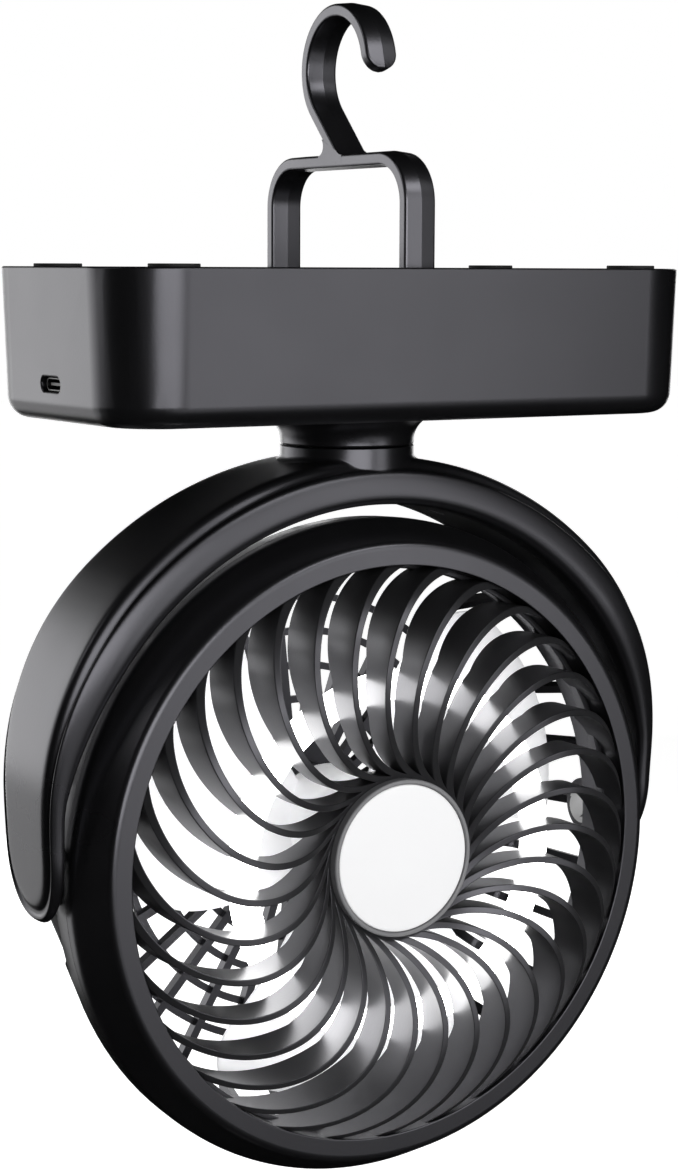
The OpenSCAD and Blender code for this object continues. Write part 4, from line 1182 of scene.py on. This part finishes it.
def drum():
    """The drum's section: a cup over the motor, with a boss that grips the shaft."""
    back = reach_of("impeller")[0]
    front = reach_of("motor_shaft")[1] - SHAFT_PROUD
    bore, boss_back = radius_of("motor_shaft"), back + BOSS_INSET
    inner, ceiling = DRUM_R - DRUM_WALL, front - DRUM_WALL
    outline = [(bore, front), (bore, boss_back), (BOSS_R, boss_back), (BOSS_R, ceiling)]
    outline += [(inner, ceiling), (inner, back), (DRUM_R, back), (DRUM_R, front)]
    return revolved(softened(outline, [0.2, 0.2, 0.3, 0.3, 0.6, 0.3, 0.3, 2.4]))


turning = [blades(), drum()]
new_piece("impeller_swept", turning, blade_painted_glow, "rotor", ["impeller"])

# %% [markdown]
# ## Floor, light and camera
#
# The fan hangs well above a pale floor. The sky is white to the camera and in
# reflections, and dimmer as a light, because white all round would wash the dark
# plastic out. The floor takes the fan's shadow and stays out of reflections, which
# would make the undersides as pale as the floor itself.

# %% Floor and sky
FLOOR_Z = -0.62
FLOOR_HALF = 9.0
FLOOR_GLOW = 0.8
SKY_LIGHT = 0.17


def pale_floor():
    """A plain floor that is bright enough to meet the sky, and still takes a shadow."""
    made, recipe = material("pale_floor")
    seen = recipe.node("LightPath", output="Is Camera Ray")
    recipe.surface(
        {
            "Base Color": recipe.blend(recipe.noise(3), grey(0.86), grey(0.88)),
            "Roughness": 0.9,
            "Emission Color": grey(1.0),
            "Emission Strength": FLOOR_GLOW * seen,
        }
    )
    corners = np.array([(-1, -1, 0), (1, -1, 0), (1, 1, 0), (-1, 1, 0)])
    corners = corners * FLOOR_HALF + [0, 0, FLOOR_Z]
    mesh = bpy.data.meshes.new("floor")
    mesh.from_pydata(corners.tolist(), [], [(0, 1, 2, 3)])
    mesh.materials.append(made)
    floor = into_scene("floor", mesh)
    floor.visible_glossy = False


pale_floor()


def sky():
    """White for the camera and for reflections, SKY_LIGHT for everything else."""
    world = bpy.data.worlds.new("studio")
    bpy.context.scene.world = world
    world.use_nodes = True
    recipe = Recipe(world.node_tree)
    path = recipe.node("LightPath").socket.node.outputs
    kinds = ["Is Camera Ray", "Is Glossy Ray", "Is Transmission Ray"]
    camera, glossy, through = [Wire(recipe, path[kind]) for kind in kinds]
    shown = (camera + glossy + through).maths("MINIMUM", 1.0)
    sockets = {"Color": grey(1.0), "Strength": SKY_LIGHT + (1 - SKY_LIGHT) * shown}
    light = recipe.node("Background", sockets=sockets)
    recipe.node("OutputWorld", sockets={"Surface": light})


sky()

# %% [markdown]
# ## Lamps
#
# Large soft lamps stand round the fan, as they do for a product picture, so that
# every rounded edge gets a long highlight. One wide lamp lights the front, and low,
# right and high ones open its shadows. Behind the fan on the left, three lamps side
# by side grow dimmer towards the front: on a rounded corner they read as one light
# that fades into black, where a single lamp would end in a hard line. The others
# draw the left edge from above, and the right edge and the rear.

# %% Lamps
MIDDLE = (0.0, 0.0, -0.16)


def directions(turn, lift):
    """Steps of length 1, turned from +X towards +Y and lifted, both in degrees."""
    turn, lift = np.radians(turn), np.radians(lift)
    level = np.cos(lift)
    return np.stack([np.cos(turn) * level, np.sin(turn) * level, np.sin(lift)], -1)


def softbox(name, turn, lift, size, glow, distance=1.8):
    """A large rectangular lamp that looks at the fan; glow is how bright its face is."""
    lamp = bpy.data.lights.new(name, "AREA")
    lamp.shape = "RECTANGLE"
    lamp.size, lamp.size_y = size
    lamp.energy = glow * np.pi * size[0] * size[1]
    holder = into_scene(name, lamp)
    place = Vector(MIDDLE) + distance * Vector(directions(turn, lift))
    holder.location = place
    holder.rotation_euler = (Vector(MIDDLE) - place).to_track_quat("-Z", "Y").to_euler()
    holder.visible_camera = False


# Each row: name, turn and lift in degrees, width and height in metres, glow.
softbox("front_softbox", 261, 6, (1.35, 0.84), 5.1)
softbox("low_fill", 285, -20, (0.8, 0.26), 0.75, distance=1.0)
softbox("right_fill", 299, 5, (0.6, 1.15), 2.7)
softbox("high_softbox", 295, 36, (1.0, 0.5), 4.5)
softbox("rear_left_rim", 114, 6, (0.6, 0.95), 1.7)
softbox("rear_left_fade", 134, 6, (0.62, 0.95), 1.6)
softbox("rear_left_end", 152, 6, (0.45, 0.95), 0.85)
softbox("left_high", 163, 32, (0.5, 0.5), 1.8)
softbox("rear_right_rim", 40, 10, (0.5, 1.1), 2.4)
softbox("rear_softbox", 76, -2, (1.0, 0.8), 2.6)
print(len(bpy.data.lights), "softboxes")

# %% [markdown]
# ## Black cloth round the set
#
# Dark plastic takes its shape from what it mirrors. With white on every side it
# turns a flat grey, so a studio hangs black cloth round it and leaves only the
# lamps and one white gap. This cloth is a round tent that only reflections see:
# it takes no light from the fan and stays out of every picture.

# %% Black tent
TENT_R = 2.4
TENT_TURNS = np.arange(0, 360, 5.0)  # degrees, as for the lamps
TENT_LIFTS = np.arange(-88, 89, 4.0)
GAP_TURN = (95, 130)
GAP_LIFT = (-28, 24)


def tent():
    """A sphere of directions without the faces of one window: those in the gap."""
    black, recipe = material("black_cloth")
    recipe.surface({"Base Color": grey(0.0), "Roughness": 1.0, "Specular IOR Level": 0.0})
    turn, lift = np.meshgrid(TENT_TURNS, TENT_LIFTS, indexing="ij")
    points = np.array(MIDDLE) + TENT_R * directions(turn, lift).reshape(-1, 3)
    faces = quads(*turn.shape, round_rows=True, round_columns=False)
    turn, lift = turn.ravel()[faces[:, 0]], lift.ravel()[faces[:, 0]]
    in_gap = (turn >= GAP_TURN[0]) & (turn < GAP_TURN[1])
    in_gap &= (lift >= GAP_LIFT[0]) & (lift < GAP_LIFT[1])
    mesh = bpy.data.meshes.new("black_tent")
    mesh.from_pydata(points.tolist(), [], faces[~in_gap].tolist())
    print("black tent:", len(mesh.polygons), "faces,", in_gap.sum(), "left out")
    mesh.materials.append(black)
    cloth = into_scene("black_tent", mesh)
    for kind in ("camera", "diffuse", "transmission", "volume_scatter", "shadow"):
        setattr(cloth, "visible_" + kind, False)


tent()

# %% [markdown]
# The camera stands a little left of the fan and above its middle, and looks
# slightly down. Its three directions are written out from yaw, pitch and roll.

# %% Camera
CAMERA_AT = (-0.3582, -0.5831, -0.0532)
YAW, PITCH, ROLL = radians(31.408), radians(7.313), radians(0.224)
FRAME_HEIGHT_PX = 1174
FOCAL_PX = 2484.7
SENSOR = 36.0


def camera():
    """A camera whose lens gives FOCAL_PX over a frame FRAME_HEIGHT_PX high."""
    ahead = np.array([np.sin(YAW), np.cos(YAW), 0.0])
    forward = ahead * np.cos(PITCH) - [0, 0, np.sin(PITCH)]
    level = np.array([np.cos(YAW), -np.sin(YAW), 0.0])
    upright = np.cross(level, forward)
    right = level * np.cos(ROLL) + upright * np.sin(ROLL)
    up = upright * np.cos(ROLL) - level * np.sin(ROLL)
    lens = bpy.data.cameras.new("camera")
    lens.sensor_width = SENSOR
    lens.lens = FOCAL_PX * SENSOR / FRAME_HEIGHT_PX
    holder = into_scene("camera", lens)
    turn = Matrix(np.stack([right, up, -forward], -1).tolist()).to_4x4()
    holder.matrix_world = Matrix.Translation(CAMERA_AT) @ turn
    bpy.context.scene.camera = holder
    print(f"lens {lens.lens:.1f} mm")


camera()
bpy.context.scene.view_settings.view_transform = "Standard"
